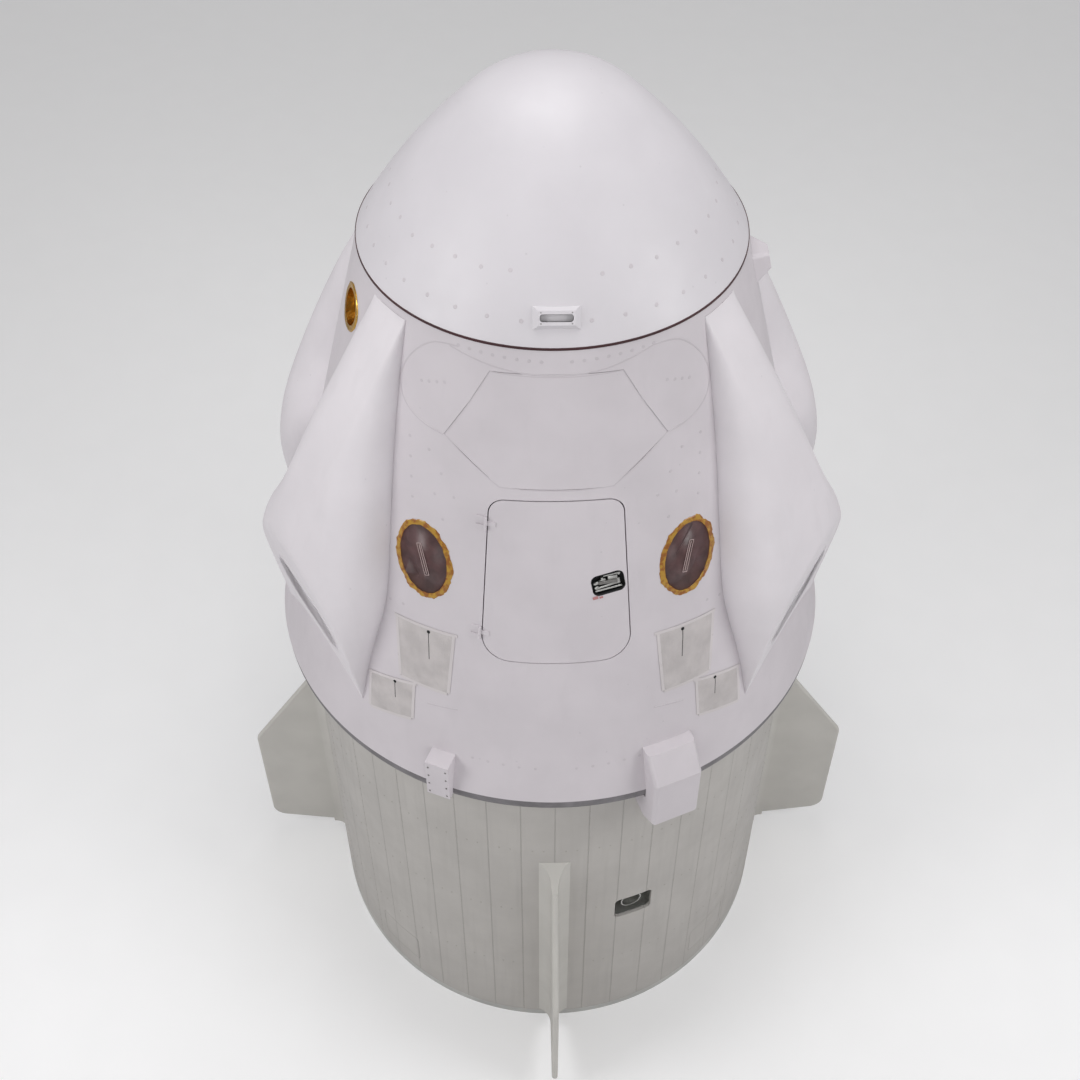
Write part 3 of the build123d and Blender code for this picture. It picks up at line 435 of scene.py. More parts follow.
@dataclass(frozen=True)
class FoilFinish(Finish):
    """Thin film that is creased all over."""

    crease_size: float = 0.05
    crease_depth: float = 0.006

    def carve(self, sketch: NodeSketch) -> None:
        """Adds the creases as flat facets with sharp folds between them."""
        sketch.relief(sketch.cells(self.crease_size, "F2"), self.crease_depth)
        sketch.relief(sketch.cells(self.crease_size * 0.4), self.crease_depth * 0.3)


@dataclass(frozen=True)
class Cloth(Finish):
    """Coated cloth with a fine weave and soft stains."""

    thread: float = 0.0016

    def carve(self, sketch: NodeSketch) -> None:
        """Adds the weave and fine creases."""
        x, y, z = sketch.split(sketch.place())
        across = sketch.maths("SINE", sketch.maths("MULTIPLY", sketch.maths("ADD", x, y), 2 * math.pi / self.thread))
        upward = sketch.maths("SINE", sketch.maths("MULTIPLY", z, 2 * math.pi / self.thread))
        sketch.relief(sketch.maths("MULTIPLY", across, upward), 0.0002)
        sketch.relief(sketch.noise(0.05, 3.0, (1.0, 1.0, 0.4)), 0.004)


@dataclass(frozen=True)
class TapeFilm(Finish):
    """Amber tape whose layers show as darker streaks."""

    def coloured(self, sketch: NodeSketch) -> bpy.types.NodeSocket:
        """Yellow with orange-brown layers."""
        share = sketch.span(sketch.noise(0.035, 3.0), (0.42, 0.58), (0.0, 1.0))
        return sketch.blend(share, self.colour, (self.colour[0] * 0.62, self.colour[1] * 0.38, self.colour[2] * 0.3))


SKIN_WHITE = TilePaint("skin_white", (0.645, 0.605, 0.635), 0.52, mottle=0.035)
NOSE_WHITE = TilePaint("nose_white", (0.66, 0.635, 0.665), 0.46, mottle=0.025, streak=0.015)
# Pods: the skin's paint made lighter, as painted light for the side lamps that the pods catch.
POD_WHITE_PAINTED_LIGHT = TilePaint("pod_white", (0.74, 0.705, 0.735), 0.55, mottle=0.03)
SEAM_SHADE = Finish("seam_shade", (0.40, 0.375, 0.41), 0.7)
PLUG_WHITE = Finish("plug_white", (0.58, 0.54, 0.57), 0.55)
# Trunk: paint darkened as painted shade for the little light that its upright wall gets from above.
TRUNK_WHITE_PAINTED_SHADE = SheetPaint("trunk_white", (0.48, 0.46, 0.435), 0.5, mottle=0.05)
FIN_WHITE = Finish("fin_white", (0.56, 0.545, 0.51), 0.5, mottle=0.05, grain=0.0003)
BAND_GREY = Finish("band_grey", (0.20, 0.19, 0.20), 0.75, mottle=0.18, mottle_size=0.15, grain=0.001)
ABLATOR = AblatorTiles("ablator", (0.045, 0.038, 0.033), 0.85, mottle=0.2)
SEAL_RED = Finish("seal_red", (0.045, 0.006, 0.009), 0.45, mottle=0.2, grain=0.0003)
BARE_METAL = BrushedMetal("bare_metal", (0.62, 0.62, 0.60), 0.38, metallic=1.0, mottle=0.08)
DARK_STEEL = BrushedMetal("dark_steel", (0.30, 0.29, 0.28), 0.36, metallic=1.0, mottle=0.12, mottle_size=0.08)
RIVET_METAL = Finish("rivet_paint", (0.42, 0.40, 0.37), 0.5)
CELL_BLUE = SolarCells("cell_blue", (0.008, 0.013, 0.035), 0.16, coat=0.6, mottle=0.2)
COVER_CLOTH = Cloth("cover_cloth", (0.56, 0.525, 0.52), 0.8, mottle=0.09, mottle_size=0.12, sheen=0.15)
COVER_TAPE = Finish("cover_tape", (0.64, 0.60, 0.605), 0.3, coat=0.3, grain=0.001, grain_size=0.03)
WINDOW_FILM = FoilFinish("window_film", (0.085, 0.040, 0.040), 0.38, coat=0.08, mottle=0.3, mottle_size=0.08,
                         crease_size=0.12, crease_depth=0.0025)
AMBER_TAPE = TapeFilm("amber_tape", (0.44, 0.24, 0.022), 0.35, coat=0.3, grain=0.001, grain_size=0.02)
GOLD_FILM = FoilFinish("gold_film", (0.75, 0.45, 0.10), 0.25, metallic=1.0, mottle=0.25, crease_size=0.03,
                       crease_depth=0.004)
MATTE_BLACK = Finish("matte_black", (0.006, 0.006, 0.007), 0.7, mottle=0.3)
LENS_BLACK = Finish("lens_black", (0.003, 0.003, 0.005), 0.06, coat=1.0, mottle=0.3, grain=0.0)
CLOSURE_WHITE = Finish("closure_white", (0.56, 0.53, 0.57), 0.45, mottle=0.06)
TAG_PINK = Finish("tag_pink", (0.50, 0.22, 0.22), 0.5)
LABEL_PALE = Finish("label_pale", (0.50, 0.38, 0.37), 0.45)
SEAT_WHITE = Finish("seat_white", (0.60, 0.60, 0.60), 0.3, coat=0.4, grain=0.0002)
SEAT_CLOTH = Cloth("seat_cloth", (0.035, 0.037, 0.042), 0.85, mottle=0.15, sheen=0.3)
CABIN_GREY = Finish("cabin_grey", (0.30, 0.31, 0.33), 0.5, mottle=0.06)
CONSOLE_BLACK = Finish("console_black", (0.012, 0.013, 0.016), 0.18, coat=0.7, mottle=0.2)
NOZZLE_METAL = BrushedMetal("nozzle_metal", (0.26, 0.22, 0.19), 0.32, metallic=1.0, mottle=0.35, mottle_size=0.06)

SLOT_FINISHES: dict[str, Finish] = {
    "shell_white": SKIN_WHITE, "pod_white": POD_WHITE_PAINTED_LIGHT, "trunk_white": TRUNK_WHITE_PAINTED_SHADE, "fin_white": FIN_WHITE,
    "solar_cells": CELL_BLUE, "band_grey": BAND_GREY, "ablator": ABLATOR, "seal_red": SEAL_RED,
    "bare_metal": BARE_METAL, "steel": DARK_STEEL, "cover_cloth": COVER_CLOTH, "window_film": WINDOW_FILM,
    "window_tape": AMBER_TAPE, "gold_film": GOLD_FILM, "dark_box": MATTE_BLACK, "seat_shell": SEAT_WHITE,
    "cabin_grey": CABIN_GREY, "console_black": CONSOLE_BLACK, "nozzle_metal": NOZZLE_METAL,
}
NODE_FINISHES: dict[str, Finish] = {
    "nose_cone": NOSE_WHITE, "nose_blister": NOSE_WHITE, "hatch_hinge_leaves": SKIN_WHITE,
    "hatch_hinge_mounts": SKIN_WHITE, "nose_hinge_brackets": SKIN_WHITE, "nose_hinge_arms": NOSE_WHITE,
}

# Meshes


def settle(name: str, mesh_source: bmesh.types.BMesh, finish: Finish, body: Body,
           smooth_angle: float = 40.0, outward: bool = True) -> bpy.types.Object:
    """Turns a bmesh into a finished piece that rides on a body.

    Args:
        name: Name of the piece.
        mesh_source: The bmesh, which is freed.
        finish: Finish of the whole piece.
        body: Body that the piece moves with.
        smooth_angle: Edges sharper than this many degrees stay sharp.
        outward: Whether the normals are worked out again.

    Returns:
        The piece.
    """
    if outward:
        bmesh.ops.recalc_face_normals(mesh_source, faces=mesh_source.faces)
    mesh = bpy.data.meshes.new(name)
    mesh_source.to_mesh(mesh)
    mesh_source.free()
    mesh.materials.append(finish.material())
    for face in mesh.polygons:
        face.use_smooth = True
    mesh.set_sharp_from_angle(angle=math.radians(smooth_angle))
    piece = bpy.data.objects.new(name, mesh)
    bpy.context.scene.collection.objects.link(piece)
    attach(piece, body.value)
    LOG.info("%s: %d faces", name, len(mesh.polygons))
    return piece


def add_plugs(target: bmesh.types.BMesh, places: Iterable[Matrix], radius: float, height: float,
              segments: int = 10, waist: float = 0.8) -> None:
    """Adds low round plugs that stand on places.

    Args:
        target: Bmesh that gets the plugs.
        places: Places whose z points out of the surface.
        radius: Radius at the surface.
        height: Height above the surface.
        segments: Sides of each plug.
        waist: Share of the radius at the top.
    """
    for place in places:
        bmesh.ops.create_cone(target, cap_ends=True, segments=segments, radius1=radius, radius2=radius * waist,
                              depth=height, matrix=place @ Matrix.Translation((0, 0, height / 2)))


def add_block(target: bmesh.types.BMesh, place: Matrix, size: Sequence[float], bevel: float = 0.0) -> None:
    """Adds a block centred on a place, with its edges bevelled.

    Args:
        target: Bmesh that gets the block.
        place: Place of the block's middle.
        size: Size along x, y and z.
        bevel: Width of the bevel, or 0 for none.
    """
    made = bmesh.ops.create_cube(target, size=1.0, matrix=place @ Matrix.Diagonal((*size, 1.0)))
    if bevel > 0:
        edges = list({edge for vert in made["verts"] for edge in vert.link_edges})
        bmesh.ops.bevel(target, geom=edges, offset=bevel, offset_type="OFFSET", affect="EDGES", segments=2,
                        profile=0.5, material=-1)


def add_rod(target: bmesh.types.BMesh, start: Vector, end: Vector, radius: float, segments: int = 12) -> None:
    """Adds a round rod between two points."""
    along = end - start
    turn = along.to_track_quat("Z", "Y").to_matrix().to_4x4()
    place = Matrix.Translation((start + end) / 2) @ turn
    bmesh.ops.create_cone(target, cap_ends=True, segments=segments, radius1=radius, radius2=radius,
                          depth=along.length, matrix=place)


def add_sweep(target: bmesh.types.BMesh, section: Sequence[Spot], places: Sequence[Matrix], closed: bool) -> None:
    """Extrudes a section from place to place.

    Args:
        target: Bmesh that gets the sweep.
        section: Outline in the places' x and z.
        places: Places along the path, with y along it and z outwards.
        closed: Whether the path ends where it starts.
    """
    start = [target.verts.new(places[0] @ Vector((x, 0.0, z))) for x, z in section]
    edges = [target.edges.new(pair) for pair in zip(start, start[1:] + start[:1])]
    if not closed:
        target.faces.new(start)
    route = list(places) + ([places[0]] if closed else [])
    last = start
    for before, after in zip(route, route[1:]):
        made = bmesh.ops.extrude_edge_only(target, edges=edges)["geom"]
        last = [part for part in made if isinstance(part, bmesh.types.BMVert)]
        edges = [part for part in made if isinstance(part, bmesh.types.BMEdge) and all(v in last for v in part.verts)]
        bmesh.ops.transform(target, matrix=after @ before.inverted(), verts=last)
    if closed:
        bmesh.ops.remove_doubles(target, verts=start + last, dist=1e-5)
    else:
        bmesh.ops.edgeloop_fill(target, edges=edges)


def smooth_route(corners: Sequence[Spot], closed: bool, steps: int = 6) -> list[Spot]:
    """Rounds a row of (azimuth, level) corners with a curve through them.

    Args:
        corners: The corners.
        closed: Whether the last corner joins the first.
        steps: Points for each stretch between two corners.

    Returns:
        The rounded row.
    """
    count = len(corners)
    stretches = count if closed else count - 1
    found: list[Spot] = []
    for index in range(stretches):
        picks = [corners[(index + offset) % count] if closed else corners[min(max(index + offset, 0), count - 1)]
                 for offset in (-1, 0, 1, 2)]
        for step in range(steps):
            t = step / steps
            weights = (-0.5 * t + t * t - 0.5 * t ** 3, 1 - 2.5 * t * t + 1.5 * t ** 3,
                       0.5 * t + 2 * t * t - 1.5 * t ** 3, -0.5 * t * t + 0.5 * t ** 3)
            found.append((sum(w * p[0] for w, p in zip(weights, picks)), sum(w * p[1] for w, p in zip(weights, picks))))
    if not closed:
        found.append(corners[-1])
    return found


def even_route(corners: Sequence[Spot], step: float) -> list[Spot]:
    """Points at an even step along straight stretches between (azimuth, level) corners.

    Args:
        corners: The corners.
        step: Distance between the points, in metres.

    Returns:
        The points.
    """
    found: list[Spot] = []
    for (az_a, level_a), (az_b, level_b) in zip(corners, corners[1:]):
        run = math.hypot(math.radians(az_b - az_a) * SHAPE.skin_radius((level_a + level_b) / 2), level_b - level_a)
        count = max(1, round(run / step))
        found += [(az_a + (az_b - az_a) * i / count, level_a + (level_b - level_a) * i / count) for i in range(count)]
    found.append(corners[-1])
    return found


def route_places(route: Sequence[Spot], surface: Callable[[float, float, float], Matrix], lift: float,
                 closed: bool) -> list[Matrix]:
    """Places along a route, with y along it.

    Args:
        route: Points as (azimuth, level).
        surface: Function that gives a place on the surface.
        lift: Distance above the surface.
        closed: Whether the route ends where it starts.

    Returns:
        One place for each point.
    """
    spots = [surface(azimuth, level, lift) for azimuth, level in route]
    places = []
    for index, spot in enumerate(spots):
        ahead = spots[(index + 1) % len(spots)] if closed or index + 1 < len(spots) else spot
        behind = spots[index - 1] if closed or index > 0 else spot
        out = spot.to_3x3() @ Vector((0, 0, 1))
        along = ahead.translation - behind.translation
        along = (along - out * along.dot(out)).normalized()
        place = Matrix((along.cross(out), along, out)).transposed().to_4x4()
        place.translation = spot.translation
        places.append(place)
    return places


def bead(half_width: float, height: float, sink: float = 0.001) -> list[Spot]:
    """Section of a low rounded bead that sinks slightly into its surface."""
    return [(-half_width, -sink), (half_width, -sink), (half_width * 0.6, height), (-half_width * 0.6, height)]


def shade_recess_liner(name: str, place: Matrix, size: Sequence[float], middle: float, corner: float, body: Body) -> None:
    """Builds a thin black lining for a recess with rounded corners, as painted shade for the recess's depths.

    Args:
        name: Name of the piece.
        place: Place of the recess, with z out of it.
        size: Width, height and depth.
        middle: Height of its middle above the place.
        corner: Radius of its corners.
        body: Body that it moves with.
    """
    liner = bmesh.new()
    made = bmesh.ops.create_cube(liner, size=1.0)["verts"]
    bmesh.ops.transform(liner, matrix=place @ Matrix.Translation((0, 0, middle)) @ Matrix.Diagonal((*size, 1.0)), verts=made)
    outward = place.to_3x3() @ Vector((0, 0, 1))
    sides = [edge for edge in liner.edges
             if abs((edge.verts[0].co - edge.verts[1].co).normalized().dot(outward)) > 0.9]
    bmesh.ops.bevel(liner, geom=sides, offset=corner, offset_type="OFFSET", affect="EDGES", segments=6,
                    profile=0.5, material=-1)
    liner.normal_update()
    lids = [face for face in liner.faces if face.normal.dot(outward) > 0.9]
    bmesh.ops.delete(liner, geom=lids, context="FACES_ONLY")
    bmesh.ops.reverse_faces(liner, faces=liner.faces)
    # Black lining: painted shade inside the recess.
    piece = settle(name, liner, MATTE_BLACK, body, 40.0, False)
    wall = piece.modifiers.new("wall", "SOLIDIFY")
    wall.thickness = 0.001
    wall.offset = 1.0


def both_sides(rows: Iterable[Spot]) -> list[Spot]:
    """Rows of (azimuth, level) with their mirror images."""
    return [(sign * azimuth, level) for azimuth, level in rows for sign in (1, -1)]


# Sub-assemblies


@dataclass
class CadDressing:
    """Gives each CAD node that stays its finish."""

    slot_finishes: dict[str, Finish] = field(default_factory=lambda: dict(SLOT_FINISHES))
    node_finishes: dict[str, Finish] = field(default_factory=lambda: dict(NODE_FINISHES))

    def build(self, frame: dict) -> None:
        """Puts the finish of each node's slot on the node.
        """
        slots = {row["node"]: row["material_slot"] for row in frame["record"]["subparts"]}
        for name, piece in frame["nodes"].items():
            finish = self.node_finishes.get(name) or self.slot_finishes[slots[name]]
            if not piece.material_slots:
                piece.data.materials.append(None)
            for holder in piece.material_slots:
                holder.material = finish.material()


@dataclass
class SkinPlugs:
    """Filled fastener holes and filled seams in the capsule's skin."""

    plug_radius: float = 0.011
    plug_height: float = 0.0012
    seam_half_width: float = 0.006
    seam_height: float = 0.0012
    front_seams: tuple[tuple[Spot, ...], ...] = (
        ((-29.6, 3.13), (-15.0, 3.07), (-1.0, 3.05), (13.0, 3.07), (27.1, 3.142)),
        ((27.1, 3.142), (35.1, 3.11), (41.5, 2.976), (44.1, 2.81), (41.5, 2.672), (35.5, 2.60), (29.0, 2.575)),
        ((20.1, 0.657), (26.8, 0.626)),
    )
    filled: tuple[Spot, ...] = (
        (-17.6, 3.04), (17.6, 3.04), (22.2, 2.84), (28.6, 2.58), (13.6, 2.33), (-13.6, 2.33), (-28.6, 2.58),
        (-22.2, 2.84), (-17.6, 3.04),
    )
    rows: tuple[tuple[Spot, Spot, int], ...] = (
        ((47.5, 3.016), (44.3, 2.12), 11),
        ((4.0, 3.13), (27.0, 3.15), 8),
        ((32.5, 2.442), (24.6, 2.192), 3),
        ((38.6, 2.472), (35.8, 2.084), 4),
        ((35.0, 1.30), (38.5, 1.28), 2),
        ((29.7, 2.169), (27.0, 2.02), 2),
        ((30.0, 2.90), (37.0, 2.85), 4),
        ((16.5, 0.30), (4.0, 0.28), 5),
    )

    def build(self) -> None:
        """Builds the seams and the plugs on the front and the rear of the capsule."""
        seams, plugs = bmesh.new(), bmesh.new()
        for corners in self.front_seams:
            for sign in (1, -1):
                if sign < 0 and corners[0][0] < 0:
                    continue
                route = smooth_route([(sign * azimuth, level) for azimuth, level in corners], False)
                for half_turn in (0, 180):
                    turned = [(azimuth + half_turn, level) for azimuth, level in route]
                    add_sweep(seams, bead(self.seam_half_width, self.seam_height),
                              route_places(turned, SHAPE.skin, 0.0, False), False)
        route = even_route(self.filled, 0.04)
        add_sweep(seams, bead(0.0052, 0.0009, 0.012), route_places(route, SHAPE.skin, 0.0, False), False)
        spots = []
        for (az_a, level_a), (az_b, level_b), count in self.rows:
            steps = [index / max(1, count - 1) for index in range(count)]
            spots += both_sides((az_a + (az_b - az_a) * s, level_a + (level_b - level_a) * s) for s in steps)
        places = [SHAPE.skin(azimuth + turn, level) for azimuth, level in spots for turn in (0, 180)]
        add_plugs(plugs, places, self.plug_radius, self.plug_height)
        settle("skin_seams", seams, PLUG_WHITE, Body.VEHICLE)
        settle("skin_plugs", plugs, PLUG_WHITE, Body.VEHICLE, 20.0)


@dataclass
class NoseDetails:
    """Filled fastener holes round the nose, and what shows in its blister."""

    plug_radius: float = 0.013
    plug_height: float = 0.0015
    rings: tuple[tuple[float, int, float], ...] = ((33.0, 36, 0.0), (36.5, 36, 5.0))
    blister_rise: float = 33.37
    screw_radius: float = 0.004

    def build(self) -> None:
        """Builds the plugs, the blister's throat lined in black as painted shade, and its screws."""
        plugs = bmesh.new()
        places = []
        for rise, count, first in self.rings:
            for index in range(count):
                azimuth = first + index * 360.0 / count
                if abs((azimuth + 180) % 360 - 180) > 7:
                    places.append(SHAPE.nose(azimuth, rise + 0.5 * noise.noise(Vector((azimuth, rise, 0)))))
        add_plugs(plugs, places, self.plug_radius, self.plug_height)
        settle("nose_plugs", plugs, PLUG_WHITE, Body.NOSE, 20.0)
        blister = SHAPE.nose(0.0, self.blister_rise)
        # The slot's black lining is painted shade for its deep throat.
        shade_recess_liner("nose_slot_shade", blister, (0.183, 0.041, 0.046), -0.0025, 0.016, Body.NOSE)
        screws = bmesh.new()
        spots = [blister @ Matrix.Translation((x, y, 0.0238)) for x in (-0.085, 0.085) for y in (-0.030, 0.030)]
        add_plugs(screws, spots, self.screw_radius, 0.0015, 8)
        settle("nose_screws", screws, DARK_STEEL, Body.NOSE, 30.0)


@dataclass
class TrunkDetails:
    """Rivets on the trunk's white half, kept clear of the port, the doors and the fins."""

    rivet_radius: float = 0.007
    rivet_height: float = 0.003
    stringer_count: int = 24
    rivet_pitch: float = 0.085
    low: float = 0.12
    high: float = 3.22
    hoops: tuple[float, ...] = (0.88, 1.74, 2.60)
    port_azimuth: float = 19.3
    port_level: float = 1.64

    def clear(self, azimuth: float, height: float) -> bool:
        """Whether a rivet at a place misses the port, the doors and the fins."""
        near_port = abs(azimuth - self.port_azimuth) < 7.5 and abs(height - self.port_level) < 0.2
        near_door = any(abs(azimuth - door) < 7.6 and abs(height - 0.43) < 0.21 for door in (-43.5, 45.0))
        near_fin = any(abs(azimuth - fin) < 5.2 for fin in (-90, 0, 90)) and height < 2.5
        return not (near_port or near_door or near_fin)

    def build(self) -> None:
        """Builds the rivets along the stringers and the hoops."""
        rivets = bmesh.new()
        spots = []
        for index in range(self.stringer_count):
            azimuth = (index + 0.5) * 360.0 / self.stringer_count
            azimuth = azimuth - 360 if azimuth > 180 else azimuth
            if abs(azimuth) < 90:
                count = int((self.high - self.low) / self.rivet_pitch)
                spots += [(azimuth, self.low + step * self.rivet_pitch) for step in range(count)]
        for height in self.hoops:
            spots += [(azimuth * 2.5, height) for azimuth in range(-35, 36)]
        places = [SHAPE.trunk(azimuth, height) for azimuth, height in spots if self.clear(azimuth, height)]
        add_plugs(rivets, places, self.rivet_radius, self.rivet_height, 8, 0.5)
        settle("trunk_rivets", rivets, RIVET_METAL, Body.VEHICLE, 60.0)


@dataclass
class ClothCover:
    """A taped cloth cover over small thrusters, between four corners on the skin."""

    name: str
    node: str
    corners: tuple[Spot, Spot, Spot, Spot]
    sign: int
    half_turn: float
    cuts: int = 30
    thickness: float = 0.0012
    billow: float = 0.010
    seed: float = 0.0

    def at(self, u: float, v: float) -> Spot:
        """Azimuth and level at shares across and down the cover."""
        (a0, z0), (a1, z1), (a2, z2), (a3, z3) = self.corners
        top, bottom = (a0 + (a1 - a0) * u, z0 + (z1 - z0) * u), (a3 + (a2 - a3) * u, z3 + (z2 - z3) * u)
        azimuth = top[0] + (bottom[0] - top[0]) * v
        level = top[1] + (bottom[1] - top[1]) * v
        return (azimuth * self.sign if self.half_turn == 0 else self.half_turn - azimuth * self.sign, level)

    def lift(self, u: float, v: float) -> float:
        """Height of the cloth above the skin, with folds that run down from its top edge."""
        edge = min(1.0, 6.0 * min(u, 1 - u, v, 1 - v))
        fold = noise.noise(Vector((u * 5.0 + self.seed, v * 1.2, self.seed)))
        small = noise.noise(Vector((u * 13.0, v * 6.0 + self.seed, 4.0)))
        rise = 0.45 + 0.75 * fold + 0.18 * small
        return 0.0012 + self.billow * edge * max(0.0, rise)

    def place(self, u: float, v: float, extra: float = 0.0) -> Matrix:
        """Place on the cloth at shares across and down it."""
        azimuth, level = self.at(u, v)
        return SHAPE.skin(azimuth, level, self.lift(u, v) + extra)

    def build(self) -> bpy.types.Object:
        """Builds the cloth, its tapes and the black slit at its top, which is painted shade.

        Returns:
            The cloth.
        """
        cloth = bmesh.new()
        bmesh.ops.create_grid(cloth, x_segments=self.cuts, y_segments=self.cuts, size=0.5)
        for vert in cloth.verts:
            u, v = vert.co.x + 0.5, 0.5 - vert.co.y
            vert.co = self.place(u, v).translation
        area = sum(face.calc_area() for face in cloth.faces)
        bmesh.ops.recalc_face_normals(cloth, faces=cloth.faces)
        middle = self.place(0.5, 0.5)
        nearest = min(cloth.faces, key=lambda face: (face.calc_center_median() - middle.translation).length)
        if nearest.normal.dot(middle.to_3x3() @ Vector((0, 0, 1))) < 0:
            bmesh.ops.reverse_faces(cloth, faces=cloth.faces)
        piece = settle(self.name, cloth, COVER_CLOTH, Body.VEHICLE, 60.0, False)
        wall = piece.modifiers.new("thickness", "SOLIDIFY")
        wall.thickness = self.thickness
        wall.offset = 1.0
        width = (self.place(0, 0.5).translation - self.place(1, 0.5).translation).length
        length = max((self.place(u, 0).translation - self.place(u, 1).translation).length for u in (0.0, 1.0))
        length = max(length, area / width)
        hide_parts(self.node)
        trims = self.trims()
        return piece

    def trims(self) -> list[bpy.types.Object]:
        """Builds the tapes round the edge, and the slit with its hole in black, as painted shade."""
        tape, slit_shade = bmesh.new(), bmesh.new()
        section = [(-0.011, -0.0004), (0.011, -0.0004), (0.010, 0.0010), (-0.010, 0.0010)]
        edges = (((-0.06, 0.0), (1.04, 0.0)), ((0.0, 0.02), (0.0, 0.98)), ((1.0, 0.02), (1.0, 0.98)),
                 ((0.02, 1.0), (0.98, 1.0)))
        for (u_a, v_a), (u_b, v_b) in edges:
            spots = [self.at(u_a + (u_b - u_a) * s / 16, v_a + (v_b - v_a) * s / 16) for s in range(17)]
            add_sweep(tape, section, route_places(spots, SHAPE.skin, 0.0030, False), False)
        # The slit and its hole are black: painted shade inside the cut in the cloth.
        add_plugs(slit_shade, [self.place(0.42, 0.06, 0.001)], 0.013, 0.0016, 12)
        line = [self.place(0.42 - 0.03 * s / 10, 0.08 + 0.042 * s, 0.0014) for s in range(11)]
        add_sweep(slit_shade, [(-0.0022, -0.0006), (0.0022, -0.0006), (0.0022, 0.0005), (-0.0022, 0.0005)], line, False)
        return [
            settle(f"{self.name}_tape", tape, COVER_TAPE, Body.VEHICLE, 30.0),
            settle(f"{self.name}_slit", slit_shade, MATTE_BLACK, Body.VEHICLE, 30.0),
        ]


@dataclass
class CoverSet:
    """The cloth covers beside all four pods."""

    large: tuple[Spot, Spot, Spot, Spot] = ((22.1, 1.219), (36.2, 1.194), (33.6, 0.752), (22.4, 0.757))
    small: tuple[Spot, Spot, Spot, Spot] = ((30.2, 0.735), (41.2, 0.640), (40.3, 0.36), (29.8, 0.450))
    places: tuple[tuple[str, int, float], ...] = (
        ("front_right", 1, 0.0), ("front_left", -1, 0.0), ("rear_right", 1, 180.0), ("rear_left", -1, 180.0),
    )

    def build(self) -> None:
        """Builds the large and the small cover at each place."""
        for index, (place, sign, half_turn) in enumerate(self.places):
            node = f"thruster_covers_{place}"
            for size, corners in (("large", self.large), ("small", self.small)):
                ClothCover(f"cover_{size}_{place}", node, corners, sign, half_turn, seed=index * 7.3 + len(size)).build()


